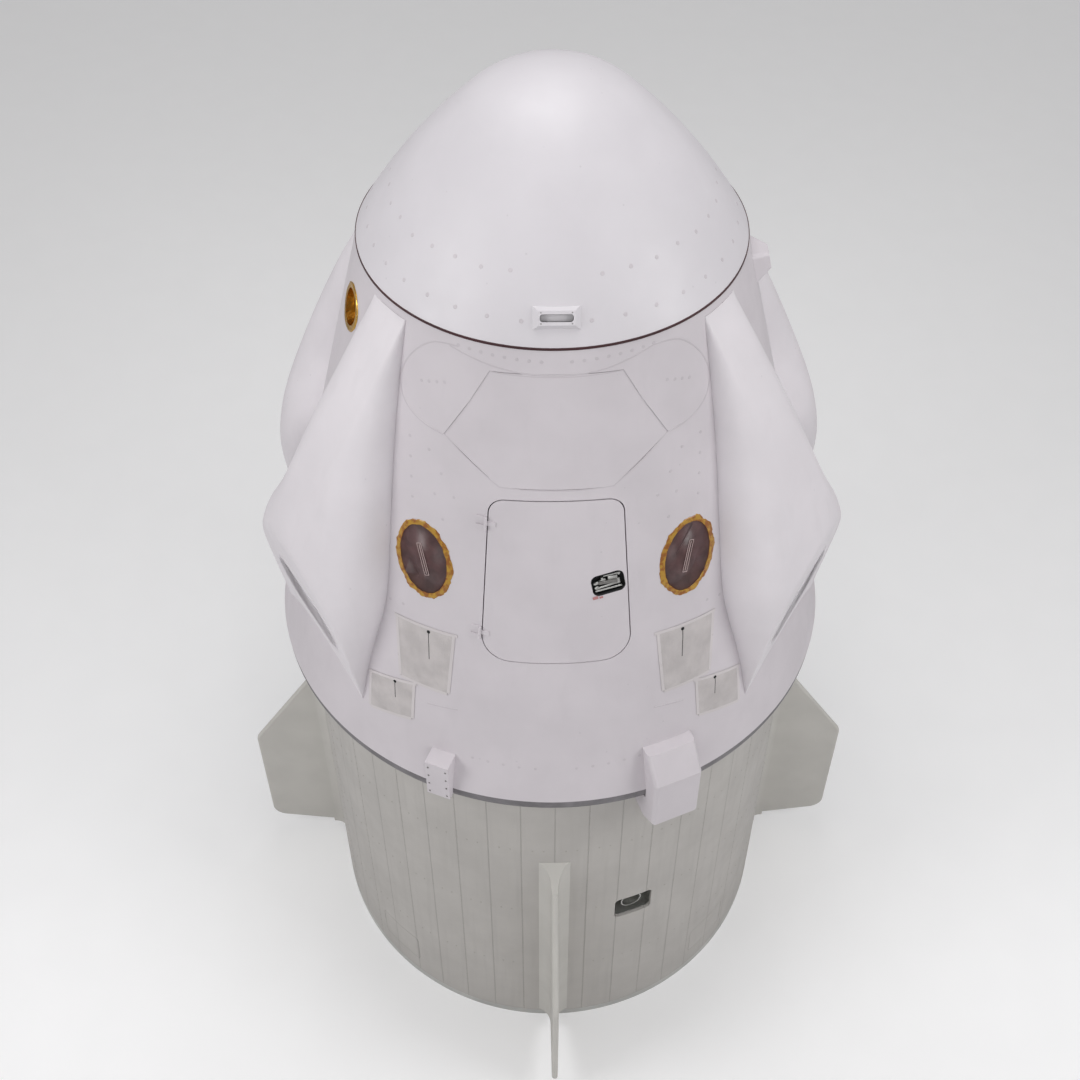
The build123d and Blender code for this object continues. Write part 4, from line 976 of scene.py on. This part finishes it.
@dataclass
class WindowDressing:
    """Protective film, amber tape and a bare label strip at each window."""

    azimuths: tuple[float, ...] = (-31.1, 31.1, 148.9, 211.1)
    level: float = 1.69
    width: float = 0.366
    height: float = 0.512
    tilt: float = 13.4
    tape_proud: float = 0.0042
    film_proud: float = 0.0015
    segments: int = 96

    def place(self, azimuth: float, lift: float) -> Matrix:
        """Place at a window's middle, turned as the window leans."""
        side = 1 if math.sin(math.radians(azimuth)) * math.cos(math.radians(azimuth)) > 0 else -1
        return SHAPE.skin(azimuth, self.level, lift) @ Matrix.Rotation(math.radians(-self.tilt * side), 4, "Z")

    def on_skin(self, place: Matrix, x: float, y: float, lift: float) -> Vector:
        """Point above the skin over a spot of a flat place.

        Args:
            place: The flat place.
            x: Distance across it.
            y: Distance up it.
            lift: Distance from the skin, measured along its radius.

        Returns:
            The point.
        """
        spot = place @ Vector((x, y, 0.0))
        out = place.to_3x3() @ Vector((0.0, 0.0, 1.0))
        for _ in range(4):
            level = spot.z - SHAPE.base_level
            miss = SHAPE.skin_radius(level) + lift - math.hypot(spot.x, spot.y)
            spot = spot + out * miss
        return spot

    def oval(self, place: Matrix, half: Spot, lift: float, rag: Callable[[float], float]) -> list[Vector]:
        """Points round an oval on the skin, moved out by an amount that differs round it."""
        found = []
        for index in range(self.segments):
            turn = 2 * math.pi * index / self.segments
            extra = rag(turn)
            found.append(self.on_skin(place, (half[0] + extra) * math.cos(turn), (half[1] + extra) * math.sin(turn), lift))
        return found

    def build(self) -> None:
        """Builds the three pieces at every window."""
        for number, azimuth in enumerate(self.azimuths):
            place = self.place(azimuth, 0.0)
            self.tape(number, place)
            self.film(number, place)
            self.label(number, place)

    def tape(self, number: int, place: Matrix) -> None:
        """Builds the ring of tape with torn edges."""
        ring = bmesh.new()
        half = (self.width / 2, self.height / 2)

        def outer(turn: float) -> float:
            spot = Vector((math.cos(turn) * 3.1, math.sin(turn) * 3.1, number * 5.0))
            tear = Vector((math.cos(turn) * 12.0, math.sin(turn) * 12.0, number * 9.0))
            return 0.020 + 0.014 * noise.noise(spot) + 0.010 * noise.noise(tear)

        def inner(turn: float) -> float:
            return -0.020 + 0.006 * noise.noise(Vector((math.cos(turn) * 5.0, math.sin(turn) * 5.0, number * 3.0)))

        loops = []
        for lift, rag in ((0.0006, outer), (self.tape_proud, lambda turn: outer(turn) - 0.006),
                          (self.tape_proud, lambda turn: inner(turn) + 0.004), (-0.006, inner)):
            verts = [ring.verts.new(point) for point in self.oval(place, half, lift, rag)]
            edges = [ring.edges.new(pair) for pair in zip(verts, verts[1:] + verts[:1])]
            loops.append(edges)
        for first, second in zip(loops, loops[1:]):
            bmesh.ops.bridge_loops(ring, edges=first + second)
        bmesh.ops.bridge_loops(ring, edges=loops[3] + loops[0])
        piece = settle(f"window_tape_{number}", ring, AMBER_TAPE, Body.VEHICLE, 30.0)
        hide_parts("window_frames")

    def film(self, number: int, place: Matrix) -> None:
        """Builds the brown film, sunk a little in the middle and creased."""
        film = bmesh.new()
        bmesh.ops.create_circle(film, cap_ends=True, segments=self.segments, radius=1.0)
        for _ in range(7):
            faces = [face for face in film.faces if len(face.verts) > 4]
            bmesh.ops.inset_region(film, faces=faces, thickness=0.125, depth=0.0)
        for vert in film.verts:
            reach = min(1.0, vert.co.length)
            crease = 0.0015 * noise.noise(Vector((vert.co.x * 3.0, vert.co.y * 4.0, number * 2.0)))
            lift = self.film_proud + crease * (1 - reach)
            vert.co = self.on_skin(place, vert.co.x * (self.width / 2 - 0.004), vert.co.y * (self.height / 2 - 0.004), lift)
        piece = settle(f"window_film_{number}", film, WINDOW_FILM, Body.VEHICLE, 60.0)
        wall = piece.modifiers.new("thickness", "SOLIDIFY")
        wall.thickness = 0.001
        wall.offset = -1.0

    def label(self, number: int, place: Matrix) -> None:
        """Builds the bare strip that is stuck on the film."""
        strip = bmesh.new()
        leaned = place @ Matrix.Rotation(math.radians(-6 if number % 2 else 8), 4, "Z")
        frame_outline = [(-0.015, -0.11), (0.015, -0.11), (0.015, 0.11), (-0.015, 0.11)]
        for (xa, ya), (xb, yb) in zip(frame_outline, frame_outline[1:] + frame_outline[:1]):
            start, end = (self.on_skin(leaned, x, y, 0.0026) for x, y in ((xa, ya), (xb, yb)))
            add_rod(strip, start, end, 0.0022, 6)
        add_rod(strip, self.on_skin(leaned, 0.0, -0.10, 0.0010), self.on_skin(leaned, 0.0, 0.10, 0.0010), 0.0035, 6)
        settle(f"window_label_{number}", strip, LABEL_PALE, Body.VEHICLE, 30.0)


@dataclass(frozen=True)
class PodRow:
    """A pod's cross-section at one share of the capsule's height."""

    share: float
    valley: float
    foot: float
    outer_round: float
    bulge: float

    def numbers(self) -> tuple[float, ...]:
        """The row's numbers after its share."""
        return self.valley, self.foot, self.outer_round, self.bulge


@dataclass
class ThrusterPods:
    """Four smooth pods, each cut by a slanting face with two closures in a pocket."""

    rows: tuple[PodRow, ...] = (
        PodRow(0.05, 42.4, 78.0, 8.0, 0.039), PodRow(0.22, 41.9, 79.0, 8.0, 0.310),
        PodRow(0.40, 39.6, 81.4, 14.4, 0.380), PodRow(0.56, 41.0, 71.7, 8.3, 0.358),
        PodRow(0.74, 43.2, 67.8, 8.5, 0.259), PodRow(0.88, 44.4, 64.4, 8.0, 0.127),
        PodRow(0.985, 45.0, 60.0, 4.0, 0.004),
    )
    inner_round: float = 8.0
    face_azimuth: float = 58.5
    face_reach: float = 1.776
    face_rise: float = 0.1577
    ridge_blend: float = 0.022
    sink: float = 0.03
    wall: float = 0.012
    columns: int = 100
    lines: int = 130
    pocket_level: float = 0.899
    pocket_half: float = 0.196
    pocket_spread: float = 0.205
    pocket_depth: float = 0.055
    closure_radius: float = 0.180
    signs: tuple[tuple[str, int, int], ...] = (
        ("front_right", 1, 1), ("front_left", -1, 1), ("rear_right", 1, -1), ("rear_left", -1, -1),
    )

    def row(self, share: float) -> tuple[float, ...]:
        """The numbers of the cross-section at a share, smoothly between the table's rows."""
        rows = self.rows
        last = len(rows) - 2
        spot = next((i for i in range(last + 1) if share <= rows[i + 1].share), last)
        span = rows[spot + 1].share - rows[spot].share
        t = min(max((share - rows[spot].share) / span, 0.0), 1.0)
        found = []
        for place in range(4):
            values = [row.numbers()[place] for row in rows]
            slopes = []
            for i in (spot, spot + 1):
                before, after = max(i - 1, 0), min(i + 1, len(rows) - 1)
                slopes.append((values[after] - values[before]) / (rows[after].share - rows[before].share))
            a, b = values[spot], values[spot + 1]
            found.append(a * (1 + 2 * t) * (1 - t) ** 2 + slopes[0] * span * t * (1 - t) ** 2
                         + b * t * t * (3 - 2 * t) + slopes[1] * span * t * t * (t - 1))
        return tuple(found)

    def spot(self, share: float, t: float) -> tuple[Vector, float]:
        """Point of the pod's skin and its height above the capsule's skin.

        Args:
            share: Share of the capsule's height.
            t: 0 at the inner foot, 1 at the outer foot.

        Returns:
            The point, and how far it stands off the skin.
        """
        valley, foot, outer_round, bulge = self.row(share)
        inner_round = self.inner_round * min(max(bulge / 0.3, 0.1), 1.0)
        rise = min(t / 0.3, 1.0) * math.pi / 2
        fall = min((1 - t) / 0.3, 1.0) * math.pi / 2
        if t <= 0.3:
            azimuth = valley + inner_round * (1 - math.cos(rise))
        elif t >= 0.7:
            azimuth = foot - outer_round * (1 - math.cos(fall))
        else:
            azimuth = valley + inner_round + (foot - outer_round - valley - inner_round) * (t - 0.3) / 0.4
        level = share * SHAPE.height
        skin = SHAPE.skin_radius(level)
        radius = skin + bulge * math.sin(rise) * math.sin(fall)
        face = (self.face_reach + self.face_rise * level) / math.cos(math.radians(azimuth - self.face_azimuth))
        near = max(self.ridge_blend - abs(radius - face), 0.0)
        radius = min(radius, face) - near * near / (4 * self.ridge_blend)
        if t in (0.0, 1.0):
            radius = skin - self.sink
        radius = max(radius, skin - self.sink)
        turn = math.radians(azimuth)
        point = Vector((radius * math.sin(turn), -radius * math.cos(turn), SHAPE.base_level + level))
        return point, radius - skin

    def face_place(self, level: float, lift: float = 0.0) -> Matrix:
        """Place on the slanting face: x along it, y up it, z out of it."""
        turn, dip = math.radians(self.face_azimuth), math.atan(self.face_rise)
        away = Vector((math.sin(turn), -math.cos(turn), 0.0))
        out = (away * math.cos(dip) - Vector((0, 0, math.sin(dip)))).normalized()
        across = Vector((math.cos(turn), math.sin(turn), 0.0))
        place = Matrix((across, out.cross(across), out)).transposed().to_4x4()
        reach = self.face_reach + self.face_rise * level
        place.translation = away * reach + Vector((0, 0, SHAPE.base_level + level)) + out * lift
        return place

    def stadium(self, target: bmesh.types.BMesh, half: float, lift: float) -> list[bmesh.types.BMEdge]:
        """Adds a stadium outline in the face's plane and gives its edges."""
        made = bmesh.ops.create_circle(target, cap_ends=False, segments=64, radius=half)["verts"]
        place = self.face_place(self.pocket_level, lift)
        for vert in made:
            side = 1 if vert.co.x > 1e-6 else -1
            vert.co = place @ Vector((vert.co.x + side * self.pocket_spread, vert.co.y, 0.0))
        return list({edge for vert in made for edge in vert.link_edges})

    def shell(self) -> bpy.types.Mesh:
        """Mesh of the front right pod with its pocket cut."""
        pod = bmesh.new()
        bmesh.ops.create_grid(pod, x_segments=self.columns, y_segments=self.lines, size=0.5)
        low, high = self.rows[0].share * 0.6, self.rows[-1].share
        lifts = {}
        for vert in pod.verts:
            share = low + (high - low) * (vert.co.y + 0.5)
            vert.co, lifts[vert] = self.spot(share, min(max(vert.co.x + 0.5, 0.0), 1.0))
        hidden = [face for face in pod.faces if all(lifts[v] <= 0.001 - self.sink for v in face.verts)]
        bmesh.ops.delete(pod, geom=hidden, context="FACES")
        bmesh.ops.recalc_face_normals(pod, faces=pod.faces)
        top = max(pod.faces, key=lambda face: face.calc_center_median().to_2d().length)
        if top.normal.dot(Vector((*top.calc_center_median().to_2d(), 0.0))) < 0:
            bmesh.ops.reverse_faces(pod, faces=pod.faces)
        cutter = bmesh.new()
        loops = [self.stadium(cutter, self.pocket_half, lift) for lift in (-0.2, 0.2)]
        bmesh.ops.bridge_loops(cutter, edges=loops[0] + loops[1])
        for loop in loops:
            bmesh.ops.edgeloop_fill(cutter, edges=loop)
        bmesh.ops.recalc_face_normals(cutter, faces=cutter.faces)
        return self.cut(pod, cutter)

    def cut(self, pod: bmesh.types.BMesh, cutter: bmesh.types.BMesh) -> bpy.types.Mesh:
        """Gives the pod a wall and cuts the pocket's hole through it."""
        held = []
        for name, source in (("pod_draft", pod), ("pod_cutter", cutter)):
            mesh = bpy.data.meshes.new(name)
            source.to_mesh(mesh)
            source.free()
            held.append(bpy.data.objects.new(name, mesh))
            bpy.context.scene.collection.objects.link(held[-1])
        wall = held[0].modifiers.new("wall", "SOLIDIFY")
        wall.thickness = self.wall
        wall.offset = -1.0
        hole = held[0].modifiers.new("hole", "BOOLEAN")
        hole.operation = "DIFFERENCE"
        hole.solver = "EXACT"
        hole.object = held[1]
        graph = bpy.context.evaluated_depsgraph_get()
        mesh = bpy.data.meshes.new_from_object(held[0].evaluated_get(graph))
        for piece in held:
            bpy.data.objects.remove(piece)
        return mesh

    def liner(self) -> bmesh.types.BMesh:
        """The pocket's walls and floor with a flange over its edge."""
        cup = bmesh.new()
        outlines = ((self.pocket_half + 0.016, 0.0), (self.pocket_half + 0.014, 0.003), (self.pocket_half - 0.002, 0.003),
                    (self.pocket_half - 0.006, -0.004), (self.pocket_half - 0.010, -self.pocket_depth))
        loops = [self.stadium(cup, half, lift) for half, lift in outlines]
        for first, second in zip(loops, loops[1:]):
            bmesh.ops.bridge_loops(cup, edges=first + second)
        bmesh.ops.edgeloop_fill(cup, edges=loops[-1])
        return cup

    def closures(self) -> tuple[bmesh.types.BMesh, bmesh.types.BMesh]:
        """Two domed closures and their bolts."""
        lids, bolts = bmesh.new(), bmesh.new()
        for side in (-1, 1):
            place = self.face_place(self.pocket_level, -self.pocket_depth) @ Matrix.Translation((side * self.pocket_spread, 0, 0))
            rings = ((1.0, 0.0), (1.0, 0.016), (0.96, 0.022), (0.86, 0.022), (0.84, 0.017), (0.60, 0.026), (0.30, 0.031))
            loops = []
            for share, lift in rings:
                made = bmesh.ops.create_circle(lids, cap_ends=False, segments=48, radius=self.closure_radius * share,
                                               matrix=place @ Matrix.Translation((0, 0, lift)))["verts"]
                loops.append(list({edge for vert in made for edge in vert.link_edges}))
            for first, second in zip(loops, loops[1:]):
                bmesh.ops.bridge_loops(lids, edges=first + second)
            bmesh.ops.edgeloop_fill(lids, edges=loops[0])
            bmesh.ops.edgeloop_fill(lids, edges=loops[-1])
            ring = [place @ Matrix.Rotation(math.radians(step * 22.5), 4, "Z") @ Matrix.Translation(
                (self.closure_radius * 0.91, 0, 0.021)) for step in range(16)]
            add_plugs(bolts, ring, 0.0075, 0.006, 6, 0.85)
        return lids, bolts

    def build(self) -> None:
        """Builds the pods and what lies in their pockets."""
        shell = self.shell()
        for name, sign_x, sign_y in self.signs:
            node = f"thruster_pod_{name}"
            mirror = Matrix.Diagonal((sign_x, sign_y, 1.0, 1.0))
            pod = bmesh.new()
            pod.from_mesh(shell)
            lids, bolts = self.closures()
            # The pods and their pockets take the pods' white, which holds painted light.
            parts = (("pod", pod, POD_WHITE_PAINTED_LIGHT), ("pod_pocket", self.liner(), POD_WHITE_PAINTED_LIGHT),
                     ("pod_closures", lids, CLOSURE_WHITE), ("pod_bolts", bolts, DARK_STEEL))
            for kind, source, finish in parts:
                bmesh.ops.transform(source, matrix=mirror, verts=source.verts)
                if kind == "pod" and sign_x * sign_y < 0:
                    bmesh.ops.reverse_faces(source, faces=source.faces)
                piece = settle(f"{kind}_{name}", source, finish, Body.VEHICLE, 32.0, kind != "pod")
                if kind == "pod_pocket":
                    wall = piece.modifiers.new("wall", "SOLIDIFY")
                    wall.thickness = 0.002
                    wall.offset = -1.0
                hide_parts(node)
        bpy.data.meshes.remove(shell)


@dataclass
class UmbilicalScrews:
    """Screws on the plate beside the umbilical fairing."""

    azimuth: float = -22.4
    proud: float = 0.052

    def build(self) -> None:
        """Builds two columns of screws on the plate's face."""
        screws = bmesh.new()
        plate = surface_place(self.azimuth, SHAPE.base_radius + self.proud, SHAPE.base_level, 0.0, 0.0)
        spots = [plate @ Matrix.Translation((x, y, 0)) for x in (-0.062, 0.062) for y in (-0.03, 0.06, 0.15, 0.24)]
        add_plugs(screws, spots, 0.007, 0.004, 8, 0.8)
        settle("umbilical_screws", screws, DARK_STEEL, Body.VEHICLE, 30.0)


@dataclass
class HatchDetails:
    """The gasket in the side hatch's gap, and the handle's mechanism in its recess."""

    level: float = 1.690
    height: float = 1.175
    top_width: float = 0.800
    bottom_width: float = 0.955
    top_corner: float = 0.105
    bottom_corner: float = 0.175
    gap: float = 0.0035
    handle_azimuth: float = 11.5
    handle_level: float = 1.672
    handle_turn: float = 8.0

    def outline(self) -> list[Matrix]:
        """Places round the middle of the hatch's gap, on the skin."""
        base = SHAPE.skin(0.0, self.level)
        half_high, top, bottom = self.height / 2 + self.gap, self.top_width / 2 + self.gap, self.bottom_width / 2 + self.gap
        corners = ((bottom, -half_high, self.bottom_corner), (top, half_high, self.top_corner),
                   (-top, half_high, self.top_corner), (-bottom, -half_high, self.bottom_corner))
        flat: list[Vector] = []
        for index, (x, y, radius) in enumerate(corners):
            spot = Vector((x, y))
            before = (Vector(corners[index - 1][:2]) - spot).normalized()
            after = (Vector(corners[(index + 1) % 4][:2]) - spot).normalized()
            half = before.angle(after) / 2
            reach = radius / math.tan(half)
            centre = spot + (before + after).normalized() * radius / math.sin(half)
            start, end = spot + before * reach - centre, spot + after * reach - centre
            flat += [centre + start.slerp(end, step / 8) for step in range(9)]
        filled: list[Vector] = []
        for one, two in zip(flat, flat[1:] + flat[:1]):
            count = max(1, round((two - one).length / 0.04))
            filled += [one.lerp(two, step / count) for step in range(count)]
        window = WindowDressing()
        points = [window.on_skin(base, spot.x, spot.y, 0.0) for spot in filled]
        places = []
        for index, point in enumerate(points):
            along = (points[(index + 1) % len(points)] - points[index - 1]).normalized()
            out = Vector((point.x, point.y, 0)).normalized() * math.cos(SHAPE.lean) + Vector((0, 0, math.sin(SHAPE.lean)))
            along = (along - out * along.dot(out)).normalized()
            place = Matrix((along.cross(out), along, out)).transposed().to_4x4()
            place.translation = point
            places.append(place)
        return places

    def build(self) -> None:
        """Builds the gasket and the handle's parts."""
        gasket = bmesh.new()
        add_sweep(gasket, [(-0.0034, -0.014), (0.0034, -0.014), (0.0034, -0.0045), (-0.0034, -0.0045)], self.outline(), True)
        settle("hatch_gasket", gasket, SEAM_SHADE, Body.VEHICLE, 60.0)
        place = SHAPE.skin(self.handle_azimuth, self.handle_level) @ Matrix.Rotation(math.radians(self.handle_turn), 4, "Z")
        # The recess's black lining is painted shade behind the handle's mechanism.
        shade_recess_liner("handle_recess_shade", place, (0.2045, 0.1495, 0.044), -0.0235, 0.041, Body.HATCH)
        works, tags = bmesh.new(), bmesh.new()
        for x, y, long, high, turn in ((-0.045, 0.012, 0.075, 0.020, 12), (0.035, 0.020, 0.060, 0.028, -8),
                                       (0.000, -0.028, 0.120, 0.016, 3), (0.062, -0.015, 0.030, 0.040, 0),
                                       (-0.070, -0.030, 0.026, 0.030, 20)):
            spot = place @ Matrix.Translation((x, y, -0.026)) @ Matrix.Rotation(math.radians(turn), 4, "Z")
            add_block(works, spot, (long, high, 0.014), 0.004)
        for x, y in ((-0.03, 0.035), (0.02, -0.002), (0.075, 0.04), (-0.08, 0.01)):
            add_plugs(works, [place @ Matrix.Translation((x, y, -0.030))], 0.009, 0.016, 12, 0.85)
        add_rod(works, place @ Vector((-0.085, -0.045, -0.016)), place @ Vector((0.08, -0.048, -0.016)), 0.006)
        add_rod(works, place @ Vector((-0.02, 0.05, -0.018)), place @ Vector((0.085, 0.045, -0.018)), 0.005)
        settle("handle_works", works, BARE_METAL, Body.HATCH, 35.0)
        for x, y, long, high in ((-0.095, -0.080, 0.034, 0.020), (-0.060, -0.086, 0.022, 0.014)):
            add_block(tags, place @ Matrix.Translation((x, y, 0.0012)), (long, high, 0.0016), 0.0005)
        settle("handle_tags", tags, TAG_PINK, Body.HATCH, 35.0)


@dataclass
class SensorDressing:
    """Foil inside the side port and a dark lens sunk in it."""

    port_azimuth: float = -74.2
    port_level: float = 2.860
    port_radius: float = 0.135

    def build(self) -> None:
        """Builds the port's lens and rim foil."""
        lens, foil = bmesh.new(), bmesh.new()
        place = SHAPE.skin(self.port_azimuth, self.port_level)
        bmesh.ops.create_uvsphere(lens, u_segments=32, v_segments=12, radius=0.085,
                                  matrix=place @ Matrix.Translation((0, 0, -0.075)) @ Matrix.Diagonal((1, 1, 0.35, 1)))
        settle("port_lens", lens, LENS_BLACK, Body.VEHICLE, 60.0)
        turns = [2 * math.pi * step / 72 for step in range(72)]
        loops = []
        for radius, lift in ((self.port_radius + 0.018, 0.002), (self.port_radius + 0.004, 0.007), (self.port_radius - 0.012, 0.002),
                             (self.port_radius - 0.016, -0.03)):
            verts = []
            for turn in turns:
                rag = 0.005 * noise.noise(Vector((math.cos(turn) * 4, math.sin(turn) * 4, radius * 9)))
                spot = WindowDressing().on_skin(place, (radius + rag) * math.cos(turn), (radius + rag) * math.sin(turn), lift)
                verts.append(foil.verts.new(spot))
            loops.append([foil.edges.new(pair) for pair in zip(verts, verts[1:] + verts[:1])])
        for first, second in zip(loops, loops[1:]):
            bmesh.ops.bridge_loops(foil, edges=first + second)
        piece = settle("port_foil", foil, GOLD_FILM, Body.VEHICLE, 50.0)
        wall = piece.modifiers.new("wall", "SOLIDIFY")
        wall.thickness = 0.001
        wall.offset = -1.0


# Stage


@dataclass
class Studio:
    """Pale floor, soft lamps and the camera at the photograph's angle."""

    floor_size: float = 120.0
    floor_colour: Colour = (0.88, 0.88, 0.885)
    floor_glow: float = 0.16
    world_strength: float = 0.36
    camera_spot: tuple[float, float, float] = (-0.1824, -7.1599, 11.7328)
    camera_right: tuple[float, float, float] = (0.99987, -0.01586, -0.0008)
    camera_up: tuple[float, float, float] = (0.01168, 0.7002, 0.71385)
    lens: float = 47.69
    shift: float = -0.0741
    lamps: tuple[tuple[str, tuple[float, float, float], float, float], ...] = (
        ("lamp_left", (-9.0, -5.0, 10.0), 5.0, 430.0),
        ("lamp_right", (9.0, -5.0, 10.0), 5.0, 390.0),
        ("lamp_top", (0.0, 1.0, 15.0), 6.0, 400.0),
        ("lamp_front", (0.0, -13.0, 7.0), 6.0, 190.0),
    )

    def build(self) -> None:
        """Builds the floor, the world, the lamps and the camera."""
        scene = bpy.context.scene
        scene.view_settings.view_transform = "Standard"
        self.floor()
        self.world()
        for name, spot, size, power in self.lamps:
            self.lamp(name, Vector(spot), size, power)
        self.camera()

    def floor(self) -> None:
        """Builds the floor."""
        plane = bmesh.new()
        bmesh.ops.create_grid(plane, x_segments=2, y_segments=2, size=self.floor_size / 2)
        mesh = bpy.data.meshes.new("floor")
        plane.to_mesh(mesh)
        plane.free()
        look = Finish("floor_pale", self.floor_colour, 0.9, mottle=0.01, grain=0.0).material()
        shader = next(node for node in look.node_tree.nodes if node.type == "BSDF_PRINCIPLED")
        ray = look.node_tree.nodes.new("ShaderNodeLightPath")
        dim = look.node_tree.nodes.new("ShaderNodeMath")
        dim.operation = "MULTIPLY"
        dim.inputs[1].default_value = self.floor_glow
        look.node_tree.links.new(ray.outputs["Is Camera Ray"], dim.inputs[0])
        look.node_tree.links.new(dim.outputs[0], shader.inputs["Emission Strength"])
        shader.inputs["Emission Color"].default_value = (1.0, 1.0, 1.0, 1.0)
        mesh.materials.append(look)
        floor = bpy.data.objects.new("floor", mesh)
        bpy.context.scene.collection.objects.link(floor)

    def world(self) -> None:
        """Gives the world an even pale light."""
        world = bpy.data.worlds.new("studio")
        world.use_nodes = True
        background = world.node_tree.nodes["Background"]
        background.inputs["Color"].default_value = (1.0, 0.99, 1.0, 1.0)
        background.inputs["Strength"].default_value = self.world_strength
        bpy.context.scene.world = world

    def lamp(self, name: str, spot: Vector, size: float, power: float) -> None:
        """Adds a soft square lamp that points at the capsule."""
        data = bpy.data.lights.new(name, "AREA")
        data.size = size
        data.energy = power
        lamp = bpy.data.objects.new(name, data)
        lamp.location = spot
        lamp.rotation_euler = (Vector((0.0, 0.0, 5.0)) - spot).to_track_quat("-Z", "Y").to_euler()
        bpy.context.scene.collection.objects.link(lamp)

    def camera(self) -> None:
        """Sets the camera where the photograph was taken."""
        data = bpy.data.cameras.new("camera")
        data.lens = self.lens
        data.shift_y = self.shift
        data.clip_end = 500.0
        right, up = Vector(self.camera_right), Vector(self.camera_up)
        turn = Matrix((right, up, right.cross(up))).transposed().to_4x4()
        camera = bpy.data.objects.new("camera", data)
        camera.matrix_world = Matrix.Translation(self.camera_spot) @ turn
        bpy.context.scene.collection.objects.link(camera)
        bpy.context.scene.camera = camera


def main() -> None:
    """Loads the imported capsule, dresses it and sets the stage."""
    logging.basicConfig(level=logging.INFO, format="%(name)s %(message)s")
    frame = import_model()
    CadDressing().build(frame)
    for assembly in (SkinPlugs(), NoseDetails(), TrunkDetails(), ThrusterPods(), UmbilicalScrews(),
                     HatchDetails(), SensorDressing(), CoverSet(), WindowDressing()):
        assembly.build()
    Studio().build()


if __name__ == "__main__":
    main()
